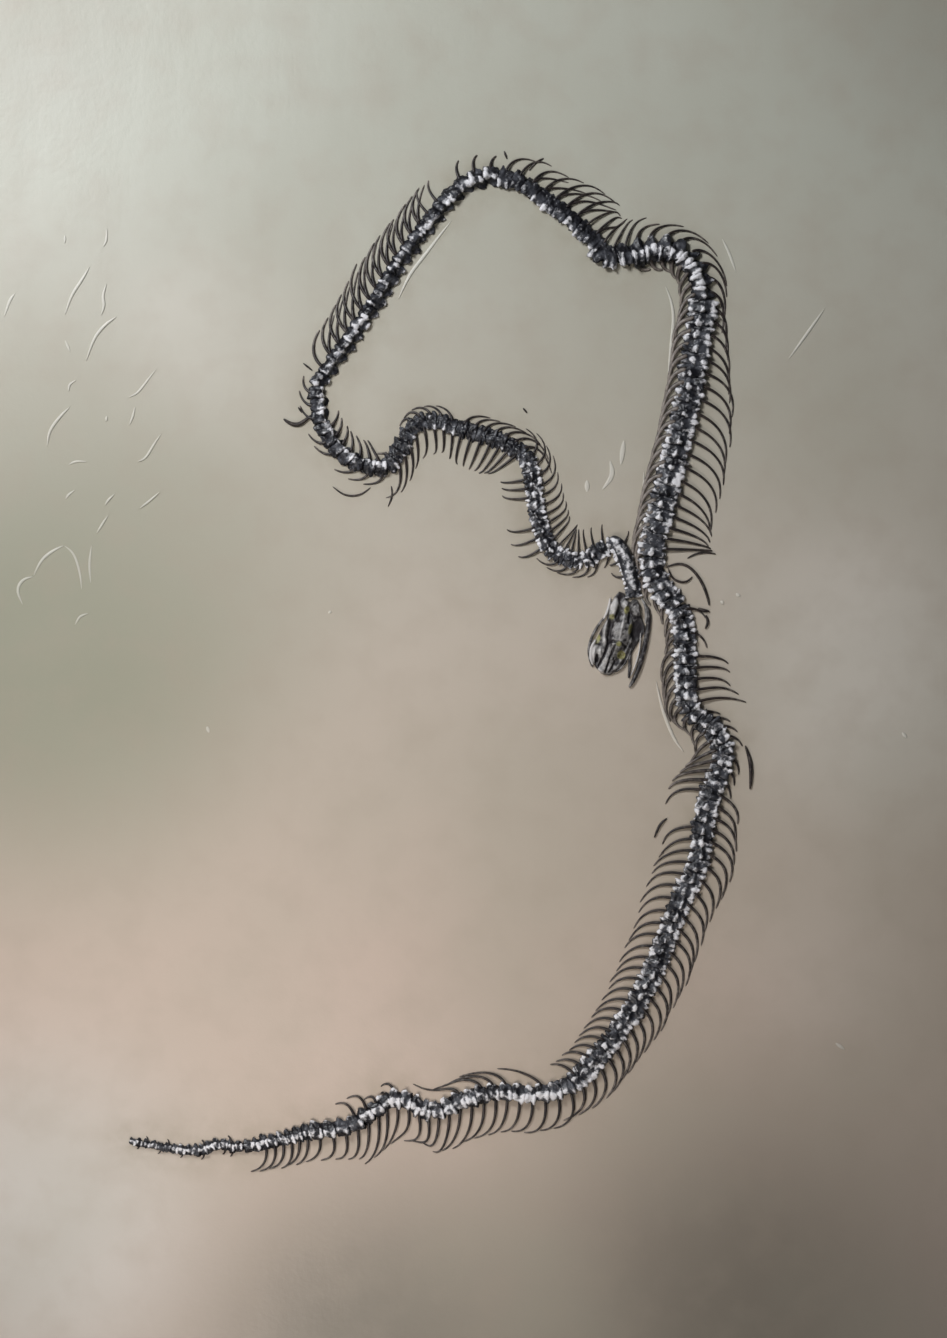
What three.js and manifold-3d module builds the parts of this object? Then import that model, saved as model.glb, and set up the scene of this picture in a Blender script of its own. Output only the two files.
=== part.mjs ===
// A fossil snake skeleton lying in relief on the face of a pale slab.
// Millimetres, +Z up. The slab lies on its back with the origin at the middle of its underside,
// +Y towards its top edge. The skeleton lies on the slab's face and is followed from the skull
// to the tip of the tail, so "left" and "right" are the left and right hand on that way.

import * as THREE from 'three';
import Module from 'manifold-3d';
import { mergeVertices } from 'three/addons/utils/BufferGeometryUtils.js';

const wasm = await Module();
wasm.setup();

// ---- driving dimensions -------------------------------------------------------------------

const SLAB = { width: 430, length: 600, thickness: 18, edge: 1.5 };
const FACE = SLAB.thickness;          // height of the face that the bones lie on

const COLUMN_HEIGHT = 0.86;           // height of a vertebra for each millimetre of half width
const COLUMN_SECTION = [[-1, 0], [-0.55, 1], [0.55, 1], [1, 0]];   // in half widths and heights
const WAIST_WIDTH = 0.78;             // width of the joint between two vertebrae, of full width
const WAIST_HEIGHT = 0.78;            // and its height, of full height
const WIDEST_AT = 0.2;                // where along a vertebra it is widest
const NARROWEST_AT = 0.8;             // and where it is narrowest
const JOINT_GAP = 0.4;                // between two lengths of the column

const RIB_WIDTH = [1.5, 0.9];         // at its root, and drawn on to its tip
const RIB_HEIGHT = [1.4, 0.9];
const SHORT_RIB = 10.5;               // a rib that reaches less than this is straight
const RIB_AT = 0.45;                  // where along a vertebra its ribs leave it
const RIB_ROOT = 0.5;                 // and how far out they start, of its half width
const RIB_LEAN = 0.25;                // share of its sweep that a rib takes up evenly
const RIB_GAP = 0.35;                 // kept to the bones of other lengths
const LOOSE_HEIGHT = 0.9;             // height of a loose bone, of its width
const BLUNT = 0.55;                   // size of a loose bone's or a jaw's ends, of its middle
const SHORTEST_RIB = 0.3;             // a rib cut shorter than this share is left out

const BONE_COLOUR = 0x2b2628;
const SLAB_COLOUR = 0xb2a68f;

// ---- the lengths of the body --------------------------------------------------------------
// Each has its middle line across the slab's face, the number of its vertebrae, the half width
// of its column at both ends, and its ribs on either hand. A rib's reach is how far its tip
// stands from the middle line and its sweep how far that tip trails towards the tail, both
// given at the two ends of the length. bow is how far out it bends before it turns back, and
// lost lists the vertebrae whose rib is gone. stout widens the ribs: above 1 they lie flat,
// below it on edge. fair is the stretch of column that sets the direction of the ribs: a long
// one keeps them side by side where the column is kinked.

const side = (reach, sweep, { bow = 0.85, lost = [], stout = 1 } = {}) => (
  { reach, sweep, bow, lost, stout }
);
const BARE = null;                    // a side whose ribs lie hidden among those of the other

const LENGTHS = [
  { name: 'neck', vertebrae: 14, half: [3.2, 3.5], fair: 10,
    route: [[67.5, 30], [66.5, 35.5], [64, 44.5], [59, 51.5], [53, 49.5], [47, 46], [39, 46.5], [32, 51]],
    left: side([7, 7.5], [4, 7], { bow: 1, lost: [0, 1, 3, 5, 7, 13] }),
    right: side([5, 15.5], [4, -4.5], { bow: 0.9, lost: [0, 1, 2, 3, 4, 6], stout: 0.75 }) },
  { name: 'trunk_01', vertebrae: 10, half: [3.5, 3.5], fair: 14,
    route: [[32, 51], [29, 57], [26, 69], [24.5, 81.5], [21, 90]],
    left: side([14, 14], [2, 5], { bow: 0.9, lost: [3, 4, 8, 9] }),
    right: side([13.5, 9.5], [8, 9], { bow: 1.05, stout: 0.9 }) },
  { name: 'trunk_02', vertebrae: 7, half: [3.5, 3.6], fair: 14,
    route: [[21, 90], [14.5, 94.5], [4, 98], [-7, 101.5]],
    left: side([15.5, 15], [9, -4], { bow: 1 }),
    right: side([8.5, 8], [-13, -9], { bow: 1 }) },
  { name: 'trunk_03', vertebrae: 9, half: [3.6, 4.4], fair: 26,
    route: [[-7, 101.5], [-17.5, 104.5], [-25, 102], [-29.5, 95.5], [-36.5, 85]],
    left: side([14.5, 13], [2, 10], { bow: 1, lost: [8], stout: 0.9 }),
    right: side([6.5, 6], [7, 6], { bow: 1.1 }) },
  { name: 'trunk_04', vertebrae: 10, half: [4.6, 4.8], fair: 14,
    route: [[-36.5, 85], [-44.5, 85.5], [-53.5, 89.5], [-60.5, 97.5], [-64.5, 108], [-65.5, 118.5]],
    left: side([8, 7.5], [6, 6], { lost: [3, 6] }),
    right: side([10, 7], [9, 5], { lost: [7, 8, 9] }) },
  { name: 'trunk_05', vertebrae: 7, half: [4.6, 4.6], fair: 14,
    route: [[-65.5, 118.5], [-60, 127], [-51, 139], [-42.5, 151.5]],
    left: side([12.5, 15], [12, 16], { bow: 0.98, lost: [0], stout: 1.15 }),
    right: BARE },
  { name: 'trunk_06', vertebrae: 8, half: [4.6, 4.7], fair: 14,
    route: [[-42.5, 151.5], [-34.5, 165], [-26.5, 177], [-18.5, 187]],
    left: side([14, 12.5], [15, 12], { bow: 0.98, stout: 1.15 }),
    right: BARE },
  { name: 'trunk_07', vertebrae: 6, half: [4.9, 5.4], fair: 14,
    route: [[-18.5, 187], [-10, 197.5], [-0.5, 205], [10.5, 206.5]],
    left: side([13, 9], [4, 2], { lost: [2] }),
    right: BARE },
  { name: 'trunk_08', vertebrae: 6, half: [5.1, 4.7], fair: 14,
    route: [[10.5, 206.5], [20.5, 203.5], [30.5, 196], [39.5, 190]],
    left: side([11, 19.5], [9, 15], { bow: 0.98, stout: 0.85 }),
    right: BARE },
  { name: 'trunk_09', vertebrae: 6, half: [4.8, 6.6], fair: 16,
    route: [[39.5, 190], [49, 180.5], [57, 172.5], [66, 174]],
    left: side([20, 13], [15, 9], { bow: 1, stout: 0.85 }),
    right: BARE },
  { name: 'trunk_10', vertebrae: 8, half: [7.6, 5.7], fair: 14,
    route: [[66, 174], [76, 176], [86.5, 174.5], [94, 166.5], [96.5, 155]],
    left: side([11.5, 9.5], [10, 18], { bow: 1 }),
    right: side([8, 10], [6, 13], { bow: 1.1, stout: 1.6 }) },
  { name: 'trunk_11', vertebrae: 7, half: [5.7, 5.6], fair: 14,
    route: [[96.5, 155], [93.5, 136], [91, 117]],
    left: side([12, 21.5], [18, 17], { bow: 1 }),
    right: side([9.5, 9.5], [14, 15], { bow: 1.18, stout: 1.8 }) },
  { name: 'trunk_12', vertebrae: 7, half: [5.6, 5.4], fair: 14,
    route: [[91, 117], [86.5, 98.5], [81.5, 77.5]],
    left: side([21.5, 23], [17, 17], { bow: 0.98 }),
    right: side([8.8, 9.2], [15, 15], { bow: 1.18, stout: 1.8 }) },
  { name: 'trunk_13', vertebrae: 6, half: [5.4, 5.4], fair: 20,
    route: [[81.5, 77.5], [76.5, 58.5], [74.5, 47.5]],
    left: side([23.5, 26], [15, 3], { bow: 0.9 }),
    right: side([9, 7], [14, 11], { bow: 1.15, stout: 1.8 }) },
  { name: 'trunk_14', vertebrae: 8, half: [5.4, 4.6], fair: 20,
    route: [[74.5, 47.5], [78, 34.5], [86, 25], [88.5, 12]],
    left: side([14, 9], [4, 7], { lost: [0, 1, 2, 3, 4, 6] }),
    right: side([8, 8], [9, 9], { bow: 1, stout: 1.5 }) },
  { name: 'trunk_15', vertebrae: 6, half: [4.6, 4.5], fair: 24,
    route: [[88.5, 12], [88.8, -4.5], [91, -17.5]],
    left: side([18.5, 22], [7, 9], { lost: [0] }),
    right: side([10, 9], [14, 14], { bow: 1.12, stout: 1.4 }) },
  { name: 'trunk_16', vertebrae: 8, half: [4.6, 4.6], fair: 20,
    route: [[91, -17.5], [100, -25], [105, -35], [100.5, -49.5]],
    left: side([8, 9], [5, 6], { lost: [4] }),
    right: side([9, 19], [10, 9], { bow: 0.9, stout: 1.3 }) },
  { name: 'trunk_17', vertebrae: 6, half: [4.5, 4.5], fair: 14,
    route: [[100.5, -49.5], [96.5, -65.5], [95, -79.5]],
    left: side([14.5, 15], [12, 15], { bow: 1, stout: 1.15 }),
    right: side([17, 17], [10, 13], { bow: 0.95, lost: [1, 2] }) },
  { name: 'trunk_18', vertebrae: 5, half: [4.5, 4.5], fair: 14,
    route: [[95, -79.5], [88.5, -94], [83.5, -105.5]],
    left: side([15, 15], [16, 17], { bow: 1, stout: 1.15 }),
    right: side([16, 14.5], [13, 12], { bow: 0.95 }) },
  { name: 'trunk_19', vertebrae: 5, half: [4.5, 4.5], fair: 14,
    route: [[83.5, -105.5], [79.5, -117], [74, -129.5]],
    left: side([15, 15], [17, 17], { bow: 1, stout: 1.15 }),
    right: side([14.5, 14], [12, 12], { bow: 0.95 }) },
  { name: 'trunk_20', vertebrae: 5, half: [4.5, 4.5], fair: 14,
    route: [[74, -129.5], [68, -141], [61, -151.5]],
    left: side([14.7, 14.3], [16, 15], { bow: 1, stout: 1.15 }),
    right: side([13.5, 12.5], [12, 12], { bow: 0.95 }) },
  { name: 'trunk_21', vertebrae: 6, half: [4.5, 4.6], fair: 14,
    route: [[61, -151.5], [54, -161], [41.5, -173.5]],
    left: side([14.3, 14], [14, 11], { bow: 1, stout: 1.15 }),
    right: side([12, 11], [11, 9], { bow: 0.95 }) },
  { name: 'trunk_22', vertebrae: 6, half: [4.8, 5], fair: 20,
    route: [[41.5, -173.5], [28, -178], [11, -177]],
    left: side([15.5, 18.5], [9, 11], { bow: 1.06 }),
    right: side([9, 9], [18, 22], { bow: 1.05, lost: [0, 1, 3, 4] }) },
  { name: 'trunk_23', vertebrae: 6, half: [5, 5], fair: 24,
    route: [[11, -177], [-3.5, -180], [-17.5, -185.5]],
    left: side([18.5, 17.5], [11, 11], { bow: 1.08 }),
    right: side([9, 8.5], [22, 18], { bow: 1.05, lost: [2, 4, 5] }) },
  { name: 'trunk_24', vertebrae: 6, half: [5, 5], fair: 34,
    route: [[-17.5, -185.5], [-27.5, -181], [-35, -180], [-42.5, -186]],
    left: side([18.5, 17.5], [11, 10], { bow: 1.06 }),
    right: side([6, 7], [5, 6], { bow: 1.1, lost: [0, 1, 2] }) },
  { name: 'trunk_25', vertebrae: 5, half: [4.9, 4.7], fair: 30,
    route: [[-42.5, -186], [-53.5, -192], [-68.5, -193.5]],
    left: side([15, 13], [9, 9], { bow: 1.04 }),
    right: side([11.5, 8], [7, 5], { bow: 1.1, lost: [2, 3, 4] }) },
  { name: 'tail_01', vertebrae: 9, half: [4.6, 3.1], fair: 14,
    route: [[-68.5, -193.5], [-85.5, -198.5], [-100, -200.5]],
    left: side([12.5, 10], [8, 8], { bow: 1.02, lost: [6, 7, 8] }),
    right: BARE },
  { name: 'tail_02', vertebrae: 15, half: [3.3, 2], fair: 14,
    route: [[-100, -200.5], [-107.5, -199.5], [-115, -202], [-127.5, -201], [-144.5, -198]],
    left: side([4.6, 2.8], [1.5, 1], { lost: [2, 3, 5, 6, 8, 9, 11, 12, 14] }),
    right: side([4.4, 2.8], [1.5, 1], { lost: [1, 2, 3, 5, 6, 7, 8, 10, 11, 13, 14] }) },
];

// Ribs and splinters that lie loose beside the column: middle line and width.
const LOOSE = [
  { name: 'loose_rib_bend', width: 2.5, line: [[-80, 105.2], [-76.8, 103], [-73.6, 102.6], [-70.9, 105]] },
  { name: 'loose_rib_long', width: 1.2, line: [[-59.4, 76.8], [-54, 73], [-47.7, 73.1], [-43, 76.4]] },
  { name: 'loose_rib_hook', width: 1.1, line: [[-34.6, 77], [-34.2, 73], [-36, 68]] },
  { name: 'splinter_1', width: 1.1, line: [[-73.7, 110], [-72, 107.6]] },
  { name: 'splinter_2', width: 1.1, line: [[20.8, 109.6], [22.5, 107.5]] },
  { name: 'splinter_3', width: 1.1, line: [[12.8, 217.6], [14, 214.2]] },
  { name: 'splinter_4', width: 1.2, line: [[23.3, 209.2], [26, 212.6], [29.6, 214.6]] },
  { name: 'splinter_5', width: 1.5, line: [[81.3, -62.6], [78.3, -65.5], [75.8, -71]] },
  { name: 'splinter_6', width: 1.1, line: [[-71.6, 128.5], [-67.6, 125.3]] },
  { name: 'loose_rib_outer', width: 2.2, line: [[114, -31.9], [116, -38], [116.6, -44], [116.1, -50.8]] },
  { name: 'crossed_rib_long', width: 1.7,
    line: [[85, 43.8], [89, 44.1], [93.6, 40.4], [97, 34.2], [98.6, 29], [99, 26.4]] },
  { name: 'crossed_rib_arch', width: 1.2, line: [[89.6, 46.4], [93.4, 48.4], [98.4, 48.9], [102, 48.2]] },
  { name: 'crossed_rib_low', width: 1.4, line: [[84.6, 41.4], [86.4, 37.4], [89.6, 36.6], [92, 38.9]] },
  { name: 'crossed_bar', width: 1.8, line: [[94.2, 25.6], [96.8, 24.6], [99.2, 24.2]] },
  { name: 'crossed_splint', width: 1.5, line: [[97.6, 22.8], [98.4, 19.6], [97.2, 16.8]] },
];

// ---- the skull ----------------------------------------------------------------------------
// Seen from above, pressed flat, with its snout down the slab and turned a little to -X, so that
// the animal's own left side lies towards +X.

const SKULL = { heading: -15, plate: 2.2, through: 30 };   // through: height of a cut right through
const SKULL_OUTLINE = [
  [57.8, 29], [58.9, 23.9], [57.2, 20.2], [54.6, 16.4], [53.8, 12.2], [51.8, 9.2], [51, 6.4],
  [51.4, 2.2], [52.6, -0.6], [54.6, -1.9], [56.9, -2.1], [59.4, -1.2], [61.9, 0.4], [63.6, 2.9],
  [66.2, 7.1], [68.8, 11.4], [70.6, 15.5], [71.2, 19.7], [70.9, 23.9], [69.6, 28.4], [64.8, 28.2], [62, 30],
];
const DOMES = [                       // raised bones: middle, half sizes across, along and up
  { at: [62, 17.6], size: [3.9, 8.6, 5.4] },      // braincase
  { at: [58.6, 8.6], size: [4, 6.8, 4.2] },       // frontals
  { at: [56.6, 2.6], size: [4.8, 4.3, 3.6] },     // snout
  { at: [67.8, 24.4], size: [2.7, 4.2, 3.9] },    // left ear region and quadrate
  { at: [59.6, 24.8], size: [1.6, 4, 3.2] },      // right quadrate
];
const PITS = [                        // openings cut right through to the slab
  { at: [62, 5.6], size: [1.9, 1.6] },            // left eye socket
];
const JAWS = [
  { name: 'mandible_left', width: 1.9, height: 3,
    line: [[73.2, 26.4], [73.7, 22], [72.7, 15], [70.6, 5], [68.2, -2.6], [65.4, -8]] },
  { name: 'mandible_right', width: 1.5, height: 2.4,
    line: [[54.6, 21.6], [51.8, 18.4], [49.9, 14.2], [49.1, 8], [49.1, 3.4], [50.4, -0.4]] },
  { name: 'pterygoid_left', width: 1.1, height: 1.7, line: [[66.6, 3.8], [65.7, 0.4], [65.5, -3.2]] },
];

const SKULL_STEPS = 24;               // straight pieces of the skull's outline
const DOME_SIDES = [8, 6];            // faces round a raised bone, and from its top to its foot

// ---- helpers ------------------------------------------------------------------------------

const mix = (a, b, t) => a + (b - a) * t;

// A closed solid through rings of points that all wind the same way; a ring of one point is a tip.
function loft(rings) {
  const positions = [];
  const starts = [];
  for (const ring of rings) {
    starts.push(positions.length / 3);
    for (const point of ring) positions.push(...point);
  }
  const index = [];
  for (let r = 0; r + 1 < rings.length; r++) {
    const count = rings[r].length;
    for (let i = 0; i < count; i++) {
      const a = starts[r] + i;
      const b = starts[r] + ((i + 1) % count);
      const c = starts[r + 1] + (i % rings[r + 1].length);
      const d = starts[r + 1] + ((i + 1) % rings[r + 1].length);
      index.push(a, d, b);
      if (c !== d) index.push(a, c, d);
    }
  }
  for (let i = 1; i + 1 < rings[0].length; i++) index.push(starts[0], starts[0] + i, starts[0] + i + 1);
  const last = starts[rings.length - 1];
  const lastCount = rings[rings.length - 1].length;
  for (let i = 1; i + 1 < lastCount; i++) index.push(last, last + i + 1, last + i);
  const geometry = new THREE.BufferGeometry();
  geometry.setAttribute('position', new THREE.Float32BufferAttribute(positions, 3));
  geometry.setIndex(index);
  return geometry;
}

function toSolid(geometry) {
  const plain = geometry.clone();
  plain.deleteAttribute('normal');
  plain.deleteAttribute('uv');
  const merged = mergeVertices(plain, 1e-4);
  return new wasm.Manifold(new wasm.Mesh({
    numProp: 3,
    vertProperties: new Float32Array(merged.attributes.position.array),
    triVerts: new Uint32Array(merged.index.array),
  }));
}

function toGeometry(solid) {
  const mesh = solid.getMesh();
  const geometry = new THREE.BufferGeometry();
  geometry.setAttribute('position', new THREE.BufferAttribute(new Float32Array(mesh.vertProperties), 3));
  geometry.setIndex(new THREE.BufferAttribute(new Uint32Array(mesh.triVerts), 1));
  geometry.computeVertexNormals();
  return geometry;
}

const join = (solids) => solids.reduce((all, one) => all.add(one));

const object = new THREE.Group();

function addMesh(name, geometry, color, roughness) {
  const mesh = new THREE.Mesh(geometry, new THREE.MeshStandardMaterial({ color, roughness, metalness: 0 }));
  mesh.name = name;
  object.add(mesh);
}

// ---- the middle line of the whole body ----------------------------------------------------

const JOINTS = [0];                   // number of the route point at which each length ends
const routePoints = [LENGTHS[0].route[0]];
for (const { route } of LENGTHS) {
  routePoints.push(...route.slice(1));
  JOINTS.push(routePoints.length - 1);
}
const bodyCurve = new THREE.CatmullRomCurve3(
  routePoints.map(([x, y]) => new THREE.Vector3(x, y, 0)), false, 'centripetal',
);
const SAMPLES_PER_POINT = 16;
const samples = bodyCurve.getPoints((routePoints.length - 1) * SAMPLES_PER_POINT);
const distances = [0];
for (let i = 1; i < samples.length; i++) {
  distances.push(distances[i - 1] + samples[i].distanceTo(samples[i - 1]));
}
const jointDistance = (joint) => distances[JOINTS[joint] * SAMPLES_PER_POINT];

// The point that lies a given distance along the body; past its ends the line runs on straight.
function along(distance) {
  let i = 1;
  while (i < distances.length - 1 && distances[i] < distance) i++;
  const t = (distance - distances[i - 1]) / (distances[i] - distances[i - 1]);
  return new THREE.Vector3().lerpVectors(samples[i - 1], samples[i], t);
}

// A point beside the column: so far along it, so far to the left, at a height above the face.
function beside(distance, left, height, reach) {
  const ahead = along(distance + reach).sub(along(distance - reach)).normalize();
  const point = along(distance);
  return [point.x - ahead.y * left, point.y + ahead.x * left, FACE + height];
}

// ---- vertebrae and ribs -------------------------------------------------------------------

function columnSolid(from, to, vertebrae, half) {
  const pitch = (to - from) / vertebrae;
  const ring = (distance, widthShare, heightShare) => {
    const size = mix(...half, (distance - from) / (to - from));
    const w = size * widthShare;
    const h = size * COLUMN_HEIGHT * heightShare;
    return COLUMN_SECTION.map(([x, z]) => beside(distance, x * w, z * h, 1));
  };
  const rings = [ring(from + JOINT_GAP / 2, WAIST_WIDTH, WAIST_HEIGHT)];
  for (let v = 0; v < vertebrae; v++) {
    rings.push(ring(from + (v + WIDEST_AT) * pitch, 1, 1));
    if (v < vertebrae - 1) rings.push(ring(from + (v + NARROWEST_AT) * pitch, WAIST_WIDTH, WAIST_HEIGHT));
  }
  rings.push(ring(to - JOINT_GAP / 2, WAIST_WIDTH, WAIST_HEIGHT));
  return toSolid(loft(rings));
}

// The middle line of a rib: out to the side, round a bow and back towards the tail.
function ribLine({ root, hand, start, bow, fair }, reach, sweep) {
  const points = [];
  const steps = reach < SHORT_RIB ? 1 : 2;
  for (let i = 0; i <= steps; i++) {
    const t = i / steps;
    const out = (1 - t) ** 2 * start + 2 * t * (1 - t) * reach * bow + t ** 2 * reach;
    const trail = t * (RIB_LEAN + (1 - RIB_LEAN) * t);
    points.push(beside(root + trail * sweep, hand * out, 0, fair));
  }
  return points;
}

// A bone lying on the face, three-sided in section. A rib tapers from its root to a point; a
// loose bone or a jaw is stoutest in the middle and blunt at both ends.
function boneSolid(line, width, height, isRib) {
  const last = line.length - 1;
  const rings = line.map(([x, y], i) => {
    const [bx, by] = line[Math.max(i - 1, 0)];
    const [ax, ay] = line[Math.min(i + 1, last)];
    const length = Math.hypot(ax - bx, ay - by);
    const t = isRib ? i / last : Math.abs(2 * i / last - 1);
    if (isRib && i === last) return [[x, y, FACE]];
    const w = mix(...width, t) / 2;
    const nx = -(ay - by) / length * w;
    const ny = (ax - bx) / length * w;
    return [[x - nx, y - ny, FACE], [x, y, FACE + mix(...height, t)], [x + nx, y + ny, FACE]];
  });
  return toSolid(loft(rings));
}

// ---- building -----------------------------------------------------------------------------

function buildSlab() {
  const { width, length, thickness, edge } = SLAB;
  const outline = new THREE.Shape();
  const w = width / 2 - edge;
  const l = length / 2 - edge;
  outline.moveTo(-w, -l).lineTo(w, -l).lineTo(w, l).lineTo(-w, l).closePath();
  const geometry = new THREE.ExtrudeGeometry(outline, {
    depth: thickness - 2 * edge, bevelEnabled: true, bevelSegments: 1, bevelSize: edge, bevelThickness: edge,
  });
  geometry.translate(0, 0, edge);
  addMesh('slab', toGeometry(toSolid(geometry)), SLAB_COLOUR, 0.45);
}

// A rounded body standing on the face, turned with the skull; a tall one cuts right through.
function dome({ at, size }, height = size[2], base = FACE) {
  const geometry = new THREE.SphereGeometry(1, ...DOME_SIDES);
  geometry.scale(size[0], size[1], height);
  geometry.rotateZ(THREE.MathUtils.degToRad(SKULL.heading));
  geometry.translate(at[0], at[1], base);
  return toSolid(geometry);
}

function buildSkull() {
  const above = new THREE.BoxGeometry(SLAB.width, SLAB.length, 2 * SKULL.through);
  above.translate(0, 0, FACE + SKULL.through);
  const outline = new THREE.Shape(
    new THREE.SplineCurve(SKULL_OUTLINE.map(([x, y]) => new THREE.Vector2(x, y))).getPoints(SKULL_STEPS),
  );
  const plate = new THREE.ExtrudeGeometry(outline, { depth: SKULL.plate, bevelEnabled: false });
  plate.translate(0, 0, FACE);
  const bones = join([toSolid(plate), ...DOMES.map((part) => dome(part))]);
  const pits = join(PITS.map((part) => dome(part, SKULL.through)));
  const cranium = bones.intersect(toSolid(above)).subtract(pits);
  addMesh('cranium', toGeometry(cranium), BONE_COLOUR, 0.4);
  const jaws = JAWS.map(({ name, width, height, line }) => {
    const solid = boneSolid(line, [width, width * BLUNT], [height, height * BLUNT], false);
    addMesh(name, toGeometry(solid), BONE_COLOUR, 0.4);
    return solid;
  });
  return [cranium, ...jaws];
}

function buildLoose() {
  return LOOSE.map(({ name, width, line }) => {
    const height = width * LOOSE_HEIGHT;
    const solid = boneSolid(line, [width, width * BLUNT], [height, height * BLUNT], false);
    addMesh(name, toGeometry(solid), BONE_COLOUR, 0.45);
    return solid;
  });
}

// One rib, cut short where it would meet a bone of another length.
function ribSolid(rib, obstacles) {
  const widths = RIB_WIDTH.map((width) => width * rib.stout);
  for (let share = 1; share > SHORTEST_RIB; share -= 0.1) {
    const line = ribLine(rib, mix(rib.start, rib.reach, share), rib.sweep * share);
    const room = boneSolid(line, widths.map((width) => width + 2 * RIB_GAP), RIB_HEIGHT, true);
    const clear = obstacles.every((other) => room.intersect(other).isEmpty());
    if (clear) return boneSolid(line, widths, RIB_HEIGHT, true);
  }
  return null;
}

function ribSolids(from, to, { vertebrae, half, fair, left, right }, obstacles) {
  const pitch = (to - from) / vertebrae;
  const solids = [];
  for (const [hand, ribs] of [[1, left], [-1, right]]) {
    for (let v = 0; ribs && v < vertebrae; v++) {
      if (ribs.lost.includes(v)) continue;
      const t = (v + RIB_AT) / vertebrae;
      const solid = ribSolid({
        root: from + (v + RIB_AT) * pitch,
        hand,
        start: mix(...half, t) * RIB_ROOT,
        reach: mix(...ribs.reach, t),
        sweep: mix(...ribs.sweep, t),
        bow: ribs.bow,
        stout: ribs.stout,
        fair,
      }, obstacles);
      if (solid) solids.push(solid);
    }
  }
  return solids;
}

function buildBody(obstacles) {
  const stretch = LENGTHS.map((_, i) => [jointDistance(i), jointDistance(i + 1)]);
  const columns = LENGTHS.map(({ vertebrae, half }, i) => columnSolid(...stretch[i], vertebrae, half));
  const finished = [...obstacles];
  LENGTHS.forEach((length, i) => {
    const others = columns.filter((_, j) => j !== i);
    const ribs = ribSolids(...stretch[i], length, [...finished, ...others]);
    const solid = join([columns[i], ...ribs]);
    finished.push(solid);
    addMesh(length.name, toGeometry(solid), BONE_COLOUR, 0.4);
  });
}

buildSlab();
buildBody([...buildSkull(), ...buildLoose()]);

export default object;
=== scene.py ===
# %% [markdown]
# # A fossil snake in the face of its slab
#
# The object is a museum specimen: the skeleton of a slender constrictor, about a metre long,
# lying in relief on a cast slab of pale resin. Two hundred vertebrae and three hundred ribs
# can't be modelled one by one, so we shape one vertebra and one rib well, and let the body's
# middle line place, turn and size every copy. The skull, which is one of a kind, is sculpted
# from a height function. The CAD frame already says where everything lies.

# %% Load the frame
import bisect
import math
import random
from collections import namedtuple

import bmesh
import bpy
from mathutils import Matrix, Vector, kdtree, noise


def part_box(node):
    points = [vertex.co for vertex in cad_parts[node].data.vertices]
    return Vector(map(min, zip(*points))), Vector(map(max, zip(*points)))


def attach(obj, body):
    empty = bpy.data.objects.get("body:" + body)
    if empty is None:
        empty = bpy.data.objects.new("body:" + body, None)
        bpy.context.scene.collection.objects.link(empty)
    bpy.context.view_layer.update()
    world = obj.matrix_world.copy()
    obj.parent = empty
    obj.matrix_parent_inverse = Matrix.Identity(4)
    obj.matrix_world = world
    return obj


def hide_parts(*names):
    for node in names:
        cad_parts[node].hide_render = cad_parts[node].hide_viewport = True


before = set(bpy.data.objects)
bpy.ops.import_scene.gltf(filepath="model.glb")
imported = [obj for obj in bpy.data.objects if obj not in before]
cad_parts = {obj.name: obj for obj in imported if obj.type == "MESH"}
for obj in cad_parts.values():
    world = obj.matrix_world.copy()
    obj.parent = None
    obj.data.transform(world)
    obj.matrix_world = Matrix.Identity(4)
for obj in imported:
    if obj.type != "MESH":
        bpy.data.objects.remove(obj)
MM = 0.001                                   # the tables below are in millimetres
UP = Vector((0, 0, 1))
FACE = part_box("slab")[1].z / MM              # height of the slab's face
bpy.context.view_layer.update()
SEED = 11                                    # every irregularity comes from this one seed
chance = random.Random(SEED)
noise.seed_set(SEED)                         # without it, vector noise would differ on every run
print("slab's face at", round(FACE, 2), "mm;", len(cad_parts), "CAD nodes")

# %% [markdown]
# ## The studio
#
# Relief only shows under raking light. One small bright softbox low at the upper left puts a
# hard glint on every glossy crest and a shadow behind it; a broad warm one from the lower left
# fills the shadows and tints the slab. Small lights give sharp glints, broad ones soft shade.

# %% Floor, softboxes and surroundings
bpy.ops.mesh.primitive_plane_add(size=8)
floor = bpy.context.object
floor.name = "floor"


def softbox(name, at, aim, size, spread, power, colour):
    """A square area light that shines from one point towards another, in a beam so many degrees wide."""
    lamp = bpy.data.lights.new(name, "AREA")
    lamp.size, lamp.energy, lamp.color = size, power, colour
    lamp.spread = math.radians(spread)
    box = bpy.data.objects.new(name, lamp)
    box.location = at
    box.rotation_mode = "QUATERNION"
    box.rotation_quaternion = (Vector(aim) - Vector(at)).to_track_quat("-Z", "Y")
    box.visible_camera = False
    bpy.context.scene.collection.objects.link(box)


softbox("key", at=(-0.40, 0.46, 0.62), aim=(-0.12, 0.10, 0), size=0.20, spread=180, power=5.3,
        colour=(0.96, 0.98, 1.0))
softbox("fill", at=(-0.20, -0.40, 0.50), aim=(-0.08, -0.12, 0), size=0.30, spread=60, power=0.27,
        colour=(1.0, 0.93, 0.86))

world = bpy.data.worlds.new("room")
world.use_nodes = True
world.node_tree.nodes["Background"].inputs["Color"].default_value = (0.95, 0.97, 1.0, 1)
world.node_tree.nodes["Background"].inputs["Strength"].default_value = 0.07
bpy.context.scene.world = world
bpy.context.scene.view_settings.view_transform = "Standard"
print("two softboxes over a pale floor")

# %% [markdown]
# ## The camera
#
# A slab is best seen square on, so the camera hangs straight above its middle and looks down.
# The lens follows from the length of slab that fills the picture at that distance.

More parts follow.
